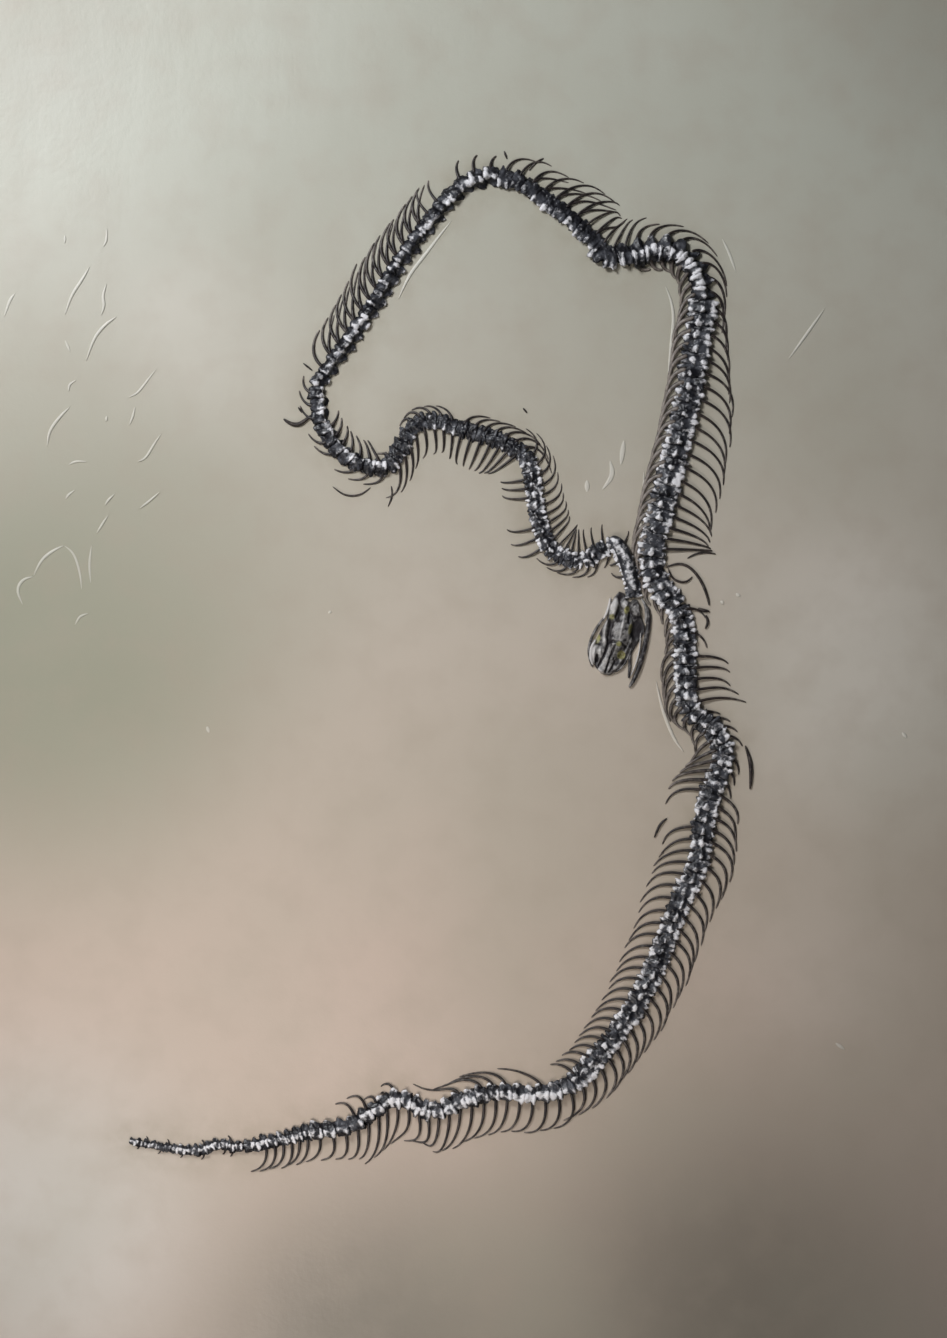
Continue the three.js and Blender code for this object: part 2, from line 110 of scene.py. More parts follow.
# %% Camera
CAMERA_HEIGHT = 1.2                          # metres above the face
LENGTH_IN_VIEW = 0.562
lens = bpy.data.cameras.new("above")
lens.sensor_width = 36
lens.lens = lens.sensor_width * CAMERA_HEIGHT / LENGTH_IN_VIEW
camera = bpy.data.objects.new("above", lens)
camera.location = (0, 0, FACE * MM + CAMERA_HEIGHT)
bpy.context.scene.collection.objects.link(camera)
bpy.context.scene.camera = camera
print("lens", round(lens.lens, 1), "mm")

# %% [markdown]
# ## Surfaces
#
# Each finish is a tree of shader nodes over the Principled shader. A small class keeps those
# trees readable: each call adds one node and gives back its output. Every pattern is driven by
# object coordinates, which are the same metres as the model, so a grain size is a real one.

# %% A class for node trees
class Surface:
    """One material: its Principled shader, and calls that add the nodes that feed it."""

    def __init__(self, name):
        self.material = bpy.data.materials.new(name)
        self.material.use_nodes = True
        self.nodes = self.material.node_tree.nodes
        self.links = self.material.node_tree.links
        self.inputs = self.nodes["Principled BSDF"].inputs
        self.place = self.nodes.new("ShaderNodeTexCoord").outputs["Object"]

    def feed(self, socket, value):
        """Give a socket another node's output, a colour or a number."""
        if isinstance(value, bpy.types.NodeSocket):
            self.links.new(value, socket)
        else:
            socket.default_value = (*value, 1) if isinstance(value, tuple) else value

    def noise(self, scale, detail=4, place=None):
        """Cloudy noise about 0.5, with so many clouds to the metre."""
        node = self.nodes.new("ShaderNodeTexNoise")
        self.feed(node.inputs["Vector"], place or self.place)
        self.feed(node.inputs["Scale"], scale)
        self.feed(node.inputs["Detail"], detail)
        return node.outputs[0]

    def painted(self, name):
        """A number stored on the mesh, such as how pale a crest is painted, for its wear and painted
        highlight.
        """
        node = self.nodes.new("ShaderNodeAttribute")
        node.attribute_name = name
        return node.outputs["Fac"]

    def stretch(self, value, low, high, to_low=0.0, to_high=1.0):
        """Spread the range from low to high over a new range, and clamp what lies outside."""
        node = self.nodes.new("ShaderNodeMapRange")
        for name, number in zip(("Value", "From Min", "From Max", "To Min", "To Max"),
                                (value, low, high, to_low, to_high)):
            self.feed(node.inputs[name], number)
        return node.outputs[0]

    def combine(self, operation, a, b):
        node = self.nodes.new("ShaderNodeMath")
        node.operation = operation
        self.feed(node.inputs[0], a)
        self.feed(node.inputs[1], b)
        return node.outputs[0]

    def plus(self, a, b):
        return self.combine("ADD", a, b)

    def times(self, a, b):
        return self.combine("MULTIPLY", a, b)

    def patch(self, middle, radius):
        """1 at a place on the slab's face, in millimetres, fading gently to 0 at a radius."""
        node = self.nodes.new("ShaderNodeVectorMath")
        node.operation = "DISTANCE"
        self.feed(node.inputs[0], self.place)
        node.inputs[1].default_value = Vector((*middle, FACE)) * MM
        fade = self.stretch(node.outputs["Value"], 0, radius * MM, 1, 0)
        fade.node.interpolation_type = "SMOOTHERSTEP"
        return fade

    def mix(self, share, a, b):
        """A colour between a, at a share of 0, and b, at 1."""
        node = self.nodes.new("ShaderNodeMix")
        node.data_type = "RGBA"
        self.feed(node.inputs[0], share)
        self.feed(node.inputs[6], a)
        self.feed(node.inputs[7], b)
        return node.outputs[2]

    def bump(self, height, strength, distance):
        """Roughen the shading, on top of any bump that is there already."""
        node = self.nodes.new("ShaderNodeBump")
        self.feed(node.inputs["Height"], height)
        self.feed(node.inputs["Strength"], strength)
        self.feed(node.inputs["Distance"], distance)
        earlier = self.inputs["Normal"].links
        if earlier:
            self.links.new(earlier[0].from_socket, node.inputs["Normal"])
        self.links.new(node.outputs[0], self.inputs["Normal"])


print("surfaces are built with", [name for name in vars(Surface) if name[0] != "_"])

# %% [markdown]
# ## Bone
#
# This bone is mineralised: brown-black and glossy, grey on its flanks, black in its hollows where
# that black is partly painted shade, and pale on its crests, both where preparation has worn them
# and as a painted highlight. The modelling marks its crests with a number for wear and light.
# Where that number is low, the grey gives way to the black, painted shade of the hollows. A
# blotchy noise is added to it before it is stretched, so that the pale patches keep to the crests
# but no two of them look the same. A fine grain roughens the gloss. The number "matrix" marks
# where the skull's openings are still filled with ochre stone.

# %% Bone surfaces
OCHRE_STONE = (0.36, 0.34, 0.14)


def bone_surface(name, shaded_hollow, flank, lit_worn_crest, share, edges, roughness):
    """A bone in three tones: where a share of the number for wear and light plus noise passes the edges,
    it is pale with wear and painted highlight; where that number is low, it leans to painted black shade.
    """
    bone = Surface(name)
    blotch = bone.noise(330, 4)
    grain = bone.noise(2400, 3)
    # painted shade: where the number for wear and light is low, the colour leans to the black of the
    # hollows
    depth = bone.plus(bone.noise(260, 3), bone.times(bone.painted("worn"), 0.16))
    colour = bone.mix(bone.stretch(depth, 0.44, 0.66), shaded_hollow, flank)
    # wear and painted highlight: the crests turn pale
    speck = bone.plus(bone.times(bone.noise(560, 3), 0.9), bone.times(blotch, 0.4))
    wear_and_highlight = bone.plus(bone.times(bone.painted("worn"), share), speck)
    colour = bone.mix(bone.stretch(wear_and_highlight, *edges), colour, lit_worn_crest)
    stone = bone.times(bone.times(bone.painted("matrix"), 1.5), blotch)
    colour = bone.mix(stone, colour, OCHRE_STONE)
    bone.feed(bone.inputs["Base Color"], colour)
    bone.feed(bone.inputs["Roughness"], bone.stretch(blotch, 0.3, 0.7, roughness, roughness + 0.22))
    bone.bump(grain, 0.5, 0.00012)
    bone.bump(blotch, 0.7, 0.0007)
    return bone


# the hollow tones are black bone with painted shade, the crest tones wear with painted highlight
vertebra_bone = bone_surface(
    "vertebra_bone", shaded_hollow=(0.008, 0.008, 0.012), flank=(0.075, 0.078, 0.092),
    lit_worn_crest=(0.82, 0.81, 0.84), share=0.5, edges=(0.80, 1.03), roughness=0.28)
skull_bone = bone_surface(
    "skull_bone", shaded_hollow=(0.018, 0.015, 0.018), flank=(0.060, 0.055, 0.054),
    lit_worn_crest=(0.60, 0.58, 0.57), share=0.5, edges=(0.66, 1.20), roughness=0.30)
rib_bone = bone_surface(
    "rib_bone", shaded_hollow=(0.012, 0.008, 0.009), flank=(0.034, 0.024, 0.021),
    lit_worn_crest=(0.30, 0.26, 0.23), share=0.3, edges=(0.76, 1.35), roughness=0.32)
print("three kinds of bone")

# %% [markdown]
# ## Resin
#
# The slab imitates pale stone: a satin skin, cooler towards the top and warmer below, with
# broad patches of painted light and painted shade (paler pools, a darker falloff towards the
# bottom and the corners, and at the left an olive stain darkened further by painted shade), a
# fine mottling, brush strokes left by the maker, and close to the bones a faint brown stain with
# painted shade. That stain and shade follow the number "near", which the slab's mesh carries,
# and the small raised marks are painted paler all over, a painted highlight.

# %% Resin surface
SLAB_COOL = (0.52, 0.52, 0.445)
SLAB_WARM = (0.58, 0.47, 0.395)
# the next two tints are painted shade and painted light, used by the patches below
PAINTED_FALLOFF_SHADE = (0.27, 0.235, 0.19)
PAINTED_LIGHT_POOL = (0.76, 0.71, 0.64)
OLIVE = (0.275, 0.285, 0.205)
PALE_GREY = (0.62, 0.63, 0.61)
CLOUD = (0.40, 0.38, 0.30)
MOTTLE = (0.42, 0.35, 0.28)
STAIN_AND_SHADE = (0.30, 0.25, 0.17)
PAINTED_HIGHLIGHT = (0.80, 0.78, 0.72)
STROKE_ANGLE = 18                            # degrees, of the maker's brush
# painted light and shade: paler pools, a darker falloff towards the bottom and the corners, and an olive
# stain at the left darkened further by painted shade
PATCHES = [                                  # middle, radius, tint, strength
    ((-178, 8), 170, OLIVE, 0.80), ((170, -6), 105, PAINTED_LIGHT_POOL, 0.75), ((-185, -235), 120, PALE_GREY, 0.60),
    ((105, -272), 165, PAINTED_FALLOFF_SHADE, 0.97), ((-45, -285), 130, PAINTED_FALLOFF_SHADE, 1.00), ((-195, 285), 100, PAINTED_FALLOFF_SHADE, 0.35),
    ((200, 290), 110, PAINTED_FALLOFF_SHADE, 0.35), ((-112, 136), 65, PAINTED_LIGHT_POOL, 0.35), ((150, -120), 70, PAINTED_LIGHT_POOL, 0.20),
]
resin = Surface("resin")
apart = resin.nodes.new("ShaderNodeSeparateXYZ")
resin.links.new(resin.place, apart.inputs[0])
colour = resin.mix(resin.stretch(apart.outputs["Y"], -0.12, 0.22), SLAB_WARM, SLAB_COOL)
for middle, radius, tint, strength in PATCHES:
    colour = resin.mix(resin.times(resin.patch(middle, radius), strength), colour, tint)
cloud = resin.noise(7, 3)
colour = resin.mix(resin.stretch(cloud, 0.40, 0.66, 0, 0.40), colour, CLOUD)
colour = resin.mix(resin.stretch(resin.noise(60, 6), 0.45, 0.75, 0, 0.25), colour, MOTTLE)
# a brown stain with painted shade close to the column and between the ribs
stain_and_shade = resin.times(resin.painted("near"), resin.stretch(resin.noise(150, 4), 0.3, 0.7, 0.1, 0.45))
colour = resin.mix(stain_and_shade, colour, STAIN_AND_SHADE)
# painted highlight: the small raised marks are painted paler
colour = resin.mix(resin.times(resin.painted("worn"), 0.45), colour, PAINTED_HIGHLIGHT)
resin.feed(resin.inputs["Base Color"], colour)
resin.feed(resin.inputs["Roughness"], resin.stretch(cloud, 0.3, 0.7, 0.38, 0.50))
strokes = resin.nodes.new("ShaderNodeMapping")
resin.links.new(resin.place, strokes.inputs["Vector"])
strokes.inputs["Rotation"].default_value = (0, 0, math.radians(STROKE_ANGLE))
strokes.inputs["Scale"].default_value = (5, 1, 1)
resin.bump(resin.noise(22, 4, strokes.outputs[0]), 0.06, 0.0016)
resin.bump(resin.noise(420, 5), 0.22, 0.0003)
print("resin from", SLAB_WARM, "to", SLAB_COOL)

# %% [markdown]
# ## The middle line of the body
#
# A body that winds about is described best by the line down its middle. The line is a
# centripetal Catmull-Rom curve, which passes through every given point and never overshoots,
# and it is the one that the CAD uses. A table of distances then lets us ask for the point so
# many millimetres along the body, and for the direction in which the body runs there.

# %% A curve through points
def curve_point(points, i, t):
    """The point at share t between points i and i + 1 of a centripetal Catmull-Rom curve."""
    last = len(points) - 1
    b, c = points[i], points[i + 1]
    a = points[i - 1] if i else 2 * b - c
    d = points[i + 2] if i + 2 <= last else 2 * c - b
    before, here, after = (math.sqrt((q - p).length) for p, q in ((a, b), (b, c), (c, d)))
    start = ((b - a) / before - (c - a) / (before + here) + (c - b) / here) * here
    end = ((c - b) / here - (d - b) / (here + after) + (d - c) / after) * here
    return (b + start * t + (3 * (c - b) - 2 * start - end) * t ** 2
            + (2 * (b - c) + start + end) * t ** 3)


def smooth_line(points):
    """A function from a share of the way, 0 to 1, to the point there."""
    points = [Vector(p) for p in points]

    def at(share):
        place = min(max(share, 0), 0.99999) * (len(points) - 1)      # just short of the last
        return curve_point(points, int(place), place % 1)
    return at


print("halfway round a corner:", [round(x, 2) for x in smooth_line([(0, 0), (1, 0), (1, 1)])(0.5)])

# %% [markdown]
# ## The lengths of the body
#
# The body is followed from the skull to the tip of the tail, and left and right are meant on
# that way. Each length gives its number of vertebrae, the half width of its column at both
# ends, the stretch of body over which its ribs' directions are averaged, its roll, its middle
# line, and the ribs on each hand. A roll of 0 is back up, 90 turns the spines to the left, -90
# to the right, and 180 is belly up.
#
# Ribs have a reach across and a sweep towards the tail at both ends of their length, a bow,
# the numbers of the vertebrae whose rib is lost, and how stout they are. Where the body lies
# on its side, the ribs of both hands show on the same side: a negative reach does that, by
# growing a rib across the column. Stout ribs, above 1, also get a painted highlight along their
# crests.

# %% Table of lengths
Length = namedtuple("Length", "name count halves fair roll line left right")
Side = namedtuple("Side", "reach sweep bow lost stout")


def side(reach, sweep, bow=0.85, lost=(), stout=1):
    return Side(reach, sweep, bow, lost, stout)


BARE = side((0, 0), (0, 0), lost=range(99))  # a side whose ribs lie hidden under the column
LENGTHS = [
    ("neck", 14, (3.2, 3.5), 10, 0,
     [(67.5, 30), (66.5, 35.5), (64, 44.5), (59, 51.5), (53, 49.5), (47, 46), (39, 46.5), (32, 51)],
     side((7, 7.5), (4, 7), 1, (0, 1, 3, 5, 7, 13)),
     side((5, 15.5), (4, -4.5), 0.9, (0, 1, 2, 3, 4, 6), stout=0.75)),
    ("trunk_01", 10, (3.5, 3.5), 14, 10,
     [(32, 51), (29, 57), (26, 69), (24.5, 81.5), (21, 90)],
     side((14, 14), (2, 5), 0.9, (3, 4, 8, 9)),
     side((13.5, 9.5), (8, 9), 1.05, stout=0.9)),
    ("trunk_02", 7, (3.5, 3.6), 14, 180,
     [(21, 90), (14.5, 94.5), (4, 98), (-7, 101.5)],
     side((15.5, 15), (9, -4), 1),
     side((8.5, 8), (-13, -9), 1)),
    ("trunk_03", 9, (3.6, 4.4), 26, 150,
     [(-7, 101.5), (-17.5, 104.5), (-25, 102), (-29.5, 95.5), (-36.5, 85)],
     side((14.5, 13), (2, 10), 1, (8,), stout=0.9),
     side((6.5, 6), (7, 6), 1.1)),
    ("trunk_04", 10, (4.6, 4.8), 14, -100,
     [(-36.5, 85), (-44.5, 85.5), (-53.5, 89.5), (-60.5, 97.5), (-64.5, 108), (-65.5, 118.5)],
     side((8, 7.5), (6, 6), 0.85, (3, 6)),
     side((10, 7), (9, 5), 0.85, (7, 8, 9))),
    ("trunk_05", 7, (4.6, 4.6), 14, -75,
     [(-65.5, 118.5), (-60, 127), (-51, 139), (-42.5, 151.5)],
     side((12.5, 15), (12, 16), 0.98, (0,), stout=1.15),
     side((-11, -14), (14, 18), 0.66, (0, 1))),
    ("trunk_06", 8, (4.6, 4.7), 14, -80,
     [(-42.5, 151.5), (-34.5, 165), (-26.5, 177), (-18.5, 187)],
     side((14, 12.5), (15, 12), 0.98, stout=1.15),
     side((-13.5, -11.5), (17, 12), 0.66)),
    ("trunk_07", 6, (4.9, 5.4), 14, -90,
     [(-18.5, 187), (-10, 197.5), (-0.5, 205), (10.5, 206.5)],
     side((13, 9), (4, 2), 0.85, (2,)),
     BARE),
    ("trunk_08", 6, (5.1, 4.7), 14, -125,
     [(10.5, 206.5), (20.5, 203.5), (30.5, 196), (39.5, 190)],
     side((11, 19.5), (9, 15), 0.98, stout=0.85),
     side((-9, -17), (12, 16), 0.7, (0, 1), stout=0.85)),
    ("trunk_09", 6, (4.8, 6.6), 16, -122,
     [(39.5, 190), (49, 180.5), (57, 172.5), (66, 174)],
     side((20, 13), (15, 9), 1, stout=0.85),
     side((-18, -14), (16, 12), 0.72, (1, 3, 4, 5), stout=0.85)),
    ("trunk_10", 8, (7.6, 5.7), 14, 75,
     [(66, 174), (76, 176), (86.5, 174.5), (94, 166.5), (96.5, 155)],
     side((11.5, 9.5), (10, 18), 1),
     side((8, 10), (6, 13), 1.1, stout=1.6)),
    ("trunk_11", 7, (5.7, 5.6), 14, -12,
     [(96.5, 155), (93.5, 136), (91, 117)],
     side((12, 21.5), (18, 17), 1),
     side((9.5, 9.5), (14, 15), 1.18, stout=1.8)),
    ("trunk_12", 7, (5.6, 5.4), 14, -8,
     [(91, 117), (86.5, 98.5), (81.5, 77.5)],
     side((21.5, 23), (17, 17), 0.98),
     side((8.8, 9.2), (15, 15), 1.18, stout=1.8)),
    ("trunk_13", 6, (5.4, 5.4), 20, -8,
     [(81.5, 77.5), (76.5, 58.5), (74.5, 47.5)],
     side((23.5, 26), (15, 3), 0.9),
     side((9, 7), (14, 11), 1.15, stout=1.8)),
    ("trunk_14", 8, (5.4, 4.6), 20, 10,
     [(74.5, 47.5), (78, 34.5), (86, 25), (88.5, 12)],
     side((14, 9), (4, 7), 0.85, (0, 1, 2, 3, 4, 6)),
     side((8, 8), (9, 9), 1, stout=1.5)),
    ("trunk_15", 6, (4.6, 4.5), 24, 0,
     [(88.5, 12), (88.8, -4.5), (91, -17.5)],
     side((18.5, 22), (7, 9), 0.85, (0,)),
     side((10, 9), (14, 14), 1.12, stout=1.4)),
    ("trunk_16", 8, (4.6, 4.6), 20, -20,
     [(91, -17.5), (100, -25), (105, -35), (100.5, -49.5)],
     side((8, 9), (5, 6), 0.85, (4,)),
     side((9, 19), (10, 9), 0.9, stout=1.3)),
    ("trunk_17", 6, (4.5, 4.5), 14, 0,
     [(100.5, -49.5), (96.5, -65.5), (95, -79.5)],
     side((14.5, 15), (12, 15), 1, stout=1.15),
     side((17, 17), (10, 13), 0.95, (1, 2))),
    ("trunk_18", 5, (4.5, 4.5), 14, 0,
     [(95, -79.5), (88.5, -94), (83.5, -105.5)],
     side((15, 15), (16, 17), 1, stout=1.15),
     side((16, 14.5), (13, 12), 0.95)),
    ("trunk_19", 5, (4.5, 4.5), 14, 0,
     [(83.5, -105.5), (79.5, -117), (74, -129.5)],
     side((15, 15), (17, 17), 1, stout=1.15),
     side((14.5, 14), (12, 12), 0.95)),
    ("trunk_20", 5, (4.5, 4.5), 14, 0,
     [(74, -129.5), (68, -141), (61, -151.5)],
     side((14.7, 14.3), (16, 15), 1, stout=1.15),
     side((13.5, 12.5), (12, 12), 0.95)),
    ("trunk_21", 6, (4.5, 4.6), 14, -20,
     [(61, -151.5), (54, -161), (41.5, -173.5)],
     side((14.3, 14), (14, 11), 1, stout=1.15),
     side((12, 11), (11, 9), 0.95)),
    ("trunk_22", 6, (4.8, 5), 20, -60,
     [(41.5, -173.5), (28, -178), (11, -177)],
     side((15.5, 18.5), (9, 11), 1.06),
     side((9, 9), (18, 22), 1.05, (0, 1, 3, 4))),
    ("trunk_23", 6, (5, 5), 24, -70,
     [(11, -177), (-3.5, -180), (-17.5, -185.5)],
     side((18.5, 17.5), (11, 11), 1.08),
     side((9, 8.5), (22, 18), 1.05, (2, 4, 5))),
    ("trunk_24", 6, (5, 5), 34, -70,
     [(-17.5, -185.5), (-27.5, -181), (-35, -180), (-42.5, -186)],
     side((18.5, 17.5), (11, 10), 1.06),
     side((6, 7), (5, 6), 1.1, (0, 1, 2))),
    ("trunk_25", 5, (4.9, 4.7), 30, -75,
     [(-42.5, -186), (-53.5, -192), (-68.5, -193.5)],
     side((15, 13), (9, 9), 1.04),
     side((11.5, 8), (7, 5), 1.1, (2, 3, 4))),
    ("tail_01", 9, (4.6, 3.1), 14, -80,
     [(-68.5, -193.5), (-85.5, -198.5), (-100, -200.5)],
     side((12.5, 10), (8, 8), 1.02, (6, 7, 8)),
     BARE),
    ("tail_02", 15, (3.3, 2), 14, -80,
     [(-100, -200.5), (-107.5, -199.5), (-115, -202), (-127.5, -201), (-144.5, -198)],
     side((4.6, 2.8), (1.5, 1), 0.85, (2, 3, 5, 6, 8, 9, 11, 12, 14)),
     side((4.4, 2.8), (1.5, 1), 0.85, (1, 2, 3, 5, 6, 7, 8, 10, 11, 13, 14))),
]
LENGTHS = [Length(*row) for row in LENGTHS]
print(len(LENGTHS), "lengths with", sum(part.count for part in LENGTHS), "vertebrae")

# %% Measure along the body
SAMPLES_PER_POINT = 16
route_points = [Vector(LENGTHS[0].line[0])]
ends = [0]
for part in LENGTHS:
    route_points += [Vector(p) for p in part.line[1:]]
    ends.append(len(route_points) - 1)
samples = [curve_point(route_points, i, k / SAMPLES_PER_POINT)
           for i in range(len(route_points) - 1) for k in range(SAMPLES_PER_POINT)]
samples.append(route_points[-1])
distances = [0.0]
for before, after in zip(samples, samples[1:]):
    distances.append(distances[-1] + (after - before).length)
length_ends = [distances[i * SAMPLES_PER_POINT] for i in ends]


def along(distance):
    """The point so many millimetres along the body; past its ends the line runs on straight."""
    i = min(max(bisect.bisect_left(distances, distance), 1), len(distances) - 1)
    share = (distance - distances[i - 1]) / (distances[i] - distances[i - 1])
    return samples[i - 1].lerp(samples[i], share)


def heading(distance, reach):
    """The direction of the body there, averaged over a reach to both sides."""
    way = (along(distance + reach) - along(distance - reach)).normalized()
    return Vector((way.x, way.y, 0))


def between(pair, share):
    """The value at a share of the way from the first of a pair to the second."""
    return pair[0] + (pair[1] - pair[0]) * share


print("the body is", round(distances[-1]), "mm long")

# %% [markdown]
# ## One vertebra
#
# A snake's vertebra is a short drum that carries a tall blade, the neural spine, on its back
# and two pairs of wings, which lock it to its neighbours: the front pair is the widest part
# of it. Low on each side, a knob carries the rib. We start from a plain twelve-sided drum,
# cut it into rings, and pull each ring out to a profile that runs from the spine, round one
# flank, to the keel. A subdivision modifier rounds it later, so fifty faces are enough.

# %% Shape the vertebra
# place along the bone, then reach of spine, shoulder, wing, wing's edge, rib knob, side, keel
VERTEBRA_RINGS = [
    (-0.04, 0.50, 0.66, 1.18, 1.14, 0.86, 0.64, 0.60),
    (0.18, 0.66, 0.62, 1.40, 1.38, 1.10, 0.70, 0.62),
    (0.46, 1.12, 0.46, 1.02, 0.92, 0.66, 0.60, 0.72),
    (0.76, 1.44, 0.68, 1.36, 1.14, 0.64, 0.58, 0.70),
    (1.10, 1.20, 0.50, 1.26, 0.96, 0.56, 0.50, 0.56),
]


def drum(rings, sides, radius):
    """An upright closed drum from z 0 to 1, cut into rings at the given heights."""
    bm = bmesh.new()
    bmesh.ops.create_cone(bm, cap_ends=True, segments=sides, radius1=radius, radius2=radius, depth=1)
    bmesh.ops.translate(bm, verts=bm.verts, vec=(0, 0, 0.5))
    for height in rings:
        bmesh.ops.bisect_plane(bm, geom=bm.verts[:] + bm.edges[:] + bm.faces[:],
                               plane_co=(0, 0, height), plane_no=(0, 0, 1))
    return bm


def finished(bm, name):
    """Turn a bmesh into a mesh with its faces outward and shaded smoothly."""
    bmesh.ops.recalc_face_normals(bm, faces=bm.faces)
    for face in bm.faces:
        face.smooth = True
    mesh = bpy.data.meshes.new(name)
    bm.to_mesh(mesh)
    bm.free()
    return mesh


def shape_vertebra():
    """Pull the rings of a drum out to the profiles of a vertebra."""
    places = [ring[0] for ring in VERTEBRA_RINGS]
    inner = [(p - places[0]) / (places[-1] - places[0]) for p in places[1:-1]]
    bm = drum(inner, 12, 1)
    worn = bm.verts.layers.float.new("worn")
    heights = [0, *inner, 1]
    for vert in bm.verts:
        ring = VERTEBRA_RINGS[min(range(len(heights)), key=lambda i: abs(heights[i] - vert.co.z))]
        angle = math.atan2(vert.co.x, vert.co.y)          # 0 is the back, half a turn the belly
        step = round(abs(angle) / (math.pi / 6))
        reach = ring[1 + step]
        vert[worn] = min(1, max(0, (reach - 0.85) / 0.60))  # what reaches out far is painted pale: wear and painted highlight
        vert.co = (math.sin(angle) * reach, ring[0], math.cos(angle) * reach)
    return finished(bm, "vertebra")


vertebra = shape_vertebra()
print("vertebra:", len(vertebra.polygons), "faces")

# %% [markdown]
# ## One rib
#
# A rib is a rod that leaves the column, bows out and back towards the tail, thins, and sinks
# into the stone at its tip. All long thin bones here, the jaws among them, are the same
# straight rod bent along a line of their own, so we need the rod only once and one function
# that bends it. Ribs also carry the number for wear and light: preparation leaves the far end
# of a rib paler.

# %% Shape the rod and bend it
ROD_RINGS = (0.14, 0.28, 0.42, 0.57, 0.72, 0.86)
NUDGE = 0.02                                 # share of a line over which its direction is taken
rod = drum(ROD_RINGS, 6, 0.5)
rod.verts.layers.float.new("worn")
rod = finished(rod, "rod")


def spindle(size, end, swell):
    """A width for the rod: its size times end at both ends, and more towards the middle."""
    return lambda t: size * (end + swell * t * (1 - t))


def blunt(full, drop):
    """A width for the rod that is full along most of it, and drops off at both ends."""
    return lambda t: full - drop * (2 * t - 1) ** 4


def bent(line, width, height):
    """Where a point of the rod goes: its length follows line, its section width and height."""
    def place(co):
        share = co.z
        way = line(share + NUDGE) - line(share - NUDGE)
        across = Vector((way.y, -way.x, 0)).normalized()
        return (line(share) + across * co.x * width(share) + UP * co.y * height(share)) * MM
    return place


def stamp(bm, prototype, place, worn=None):
    """Add a copy of a prototype, with each of its points put where place says."""
    start = len(bm.verts)
    bm.from_mesh(prototype)
    bm.verts.ensure_lookup_table()
    layer = bm.verts.layers.float["worn"]
    for vert in bm.verts[start:]:
        if worn:
            vert[layer] = worn(vert.co)
        vert.co = place(vert.co)


def add_piece(mesh, surface, nodes=(), levels=0):
    """Show a mesh as a piece that rides on the specimen and stands for its CAD nodes."""
    piece = bpy.data.objects.new(mesh.name, mesh)
    bpy.context.scene.collection.objects.link(piece)
    mesh.materials.append(surface.material)
    if levels:
        rounding = piece.modifiers.new("rounding", "SUBSURF")
        rounding.levels = rounding.render_levels = levels
    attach(piece, "root")
    if nodes:
        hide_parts(*nodes)
    return piece


print("rod:", len(rod.polygons), "faces")

# %% [markdown]
# ## Lay out the column
#
# Each vertebra is stamped at its place along the line, rolled as its length says, and shaken
# a little, since nothing in a fossil lies in perfect order. Pressed bones are lower than they
# are wide, so heights are flattened, and the lower half of each bone stays in the stone.
# What stands highest is painted palest, partly as wear and partly as painted highlight, and what
# lies low is darkest, as painted shade; this fades towards the stone and varies from place to
# place. Where a length has rolled its smooth belly up, less of it is painted pale.

# %% Columns of vertebrae
FLATTEN = 0.60                               # how far the fossil has been pressed flat
RISE = 0.05                                  # of half width: the column's axis above the face
KNOBBLE = 0.28                               # of half width: how unevenly the bones are weathered
KNOB_SIZE = 2.0                              # and over what distance
PIT_SIZE, PIT_DEPTH = 1.1, 1.3
PATCH_SIZE = 7.0                             # of stretches with more, and with less, wear and painted highlight
SPECK_SIZE = 1.7                             # of specks of wear and painted highlight
BELLY_ROLL = 70                              # beyond this roll the smooth belly comes up
BELLY_SPARED = 0.16                          # how much less pale it is painted


def weather(piece):
    """Roughen a finished piece with pits and knobs about a millimetre across."""
    clouds = bpy.data.textures.new(piece.name + "_clouds", "CLOUDS")
    clouds.noise_scale = PIT_SIZE * MM
    clouds.noise_depth = 1
    rough = piece.modifiers.new("weathering", "DISPLACE")
    rough.texture = clouds
    rough.texture_coords = "LOCAL"
    rough.strength = PIT_DEPTH * MM


def wear_and_highlight(marked, place, height, roll):
    """How pale a marked point is painted, as wear and painted highlight: most where it stands high,
    patchy, and less on a belly.
    """
    patch = 1 + 1.5 * noise.noise(place / PATCH_SIZE)
    speck = 0.6 * noise.noise(place / SPECK_SIZE)
    spared = BELLY_SPARED if abs(roll) > BELLY_ROLL else 0
    return marked * min(1, 0.15 + 2.6 * height) * patch + speck - spared


def vertebra_place(distance, half, pitch, roll):
    """Where a point of a vertebra goes that stands so far along the body, a little shaken."""
    ahead = heading(distance, 1)
    left = Vector((-ahead.y, ahead.x, 0))
    turn = math.radians(roll + chance.uniform(-12, 12))
    back = UP * math.cos(turn) + left * math.sin(turn)
    right = ahead.cross(back)
    size = half * chance.uniform(0.95, 1.03)
    shift = left * half * (chance.uniform(-0.06, 0.06) - 0.18 * math.sin(turn))
    lean = chance.uniform(-0.10, 0.10)
    centre = along(distance).to_3d() + shift

    def place(co):
        y = (co.y - 0.5) * pitch + co.x * lean * half
        point = centre + right * co.x * size + ahead * y + back * co.z * size
        point += noise.noise_vector(point / KNOB_SIZE) * KNOBBLE * half
        return Vector((point.x, point.y, FACE + RISE * half + FLATTEN * point.z)) * MM
    return place


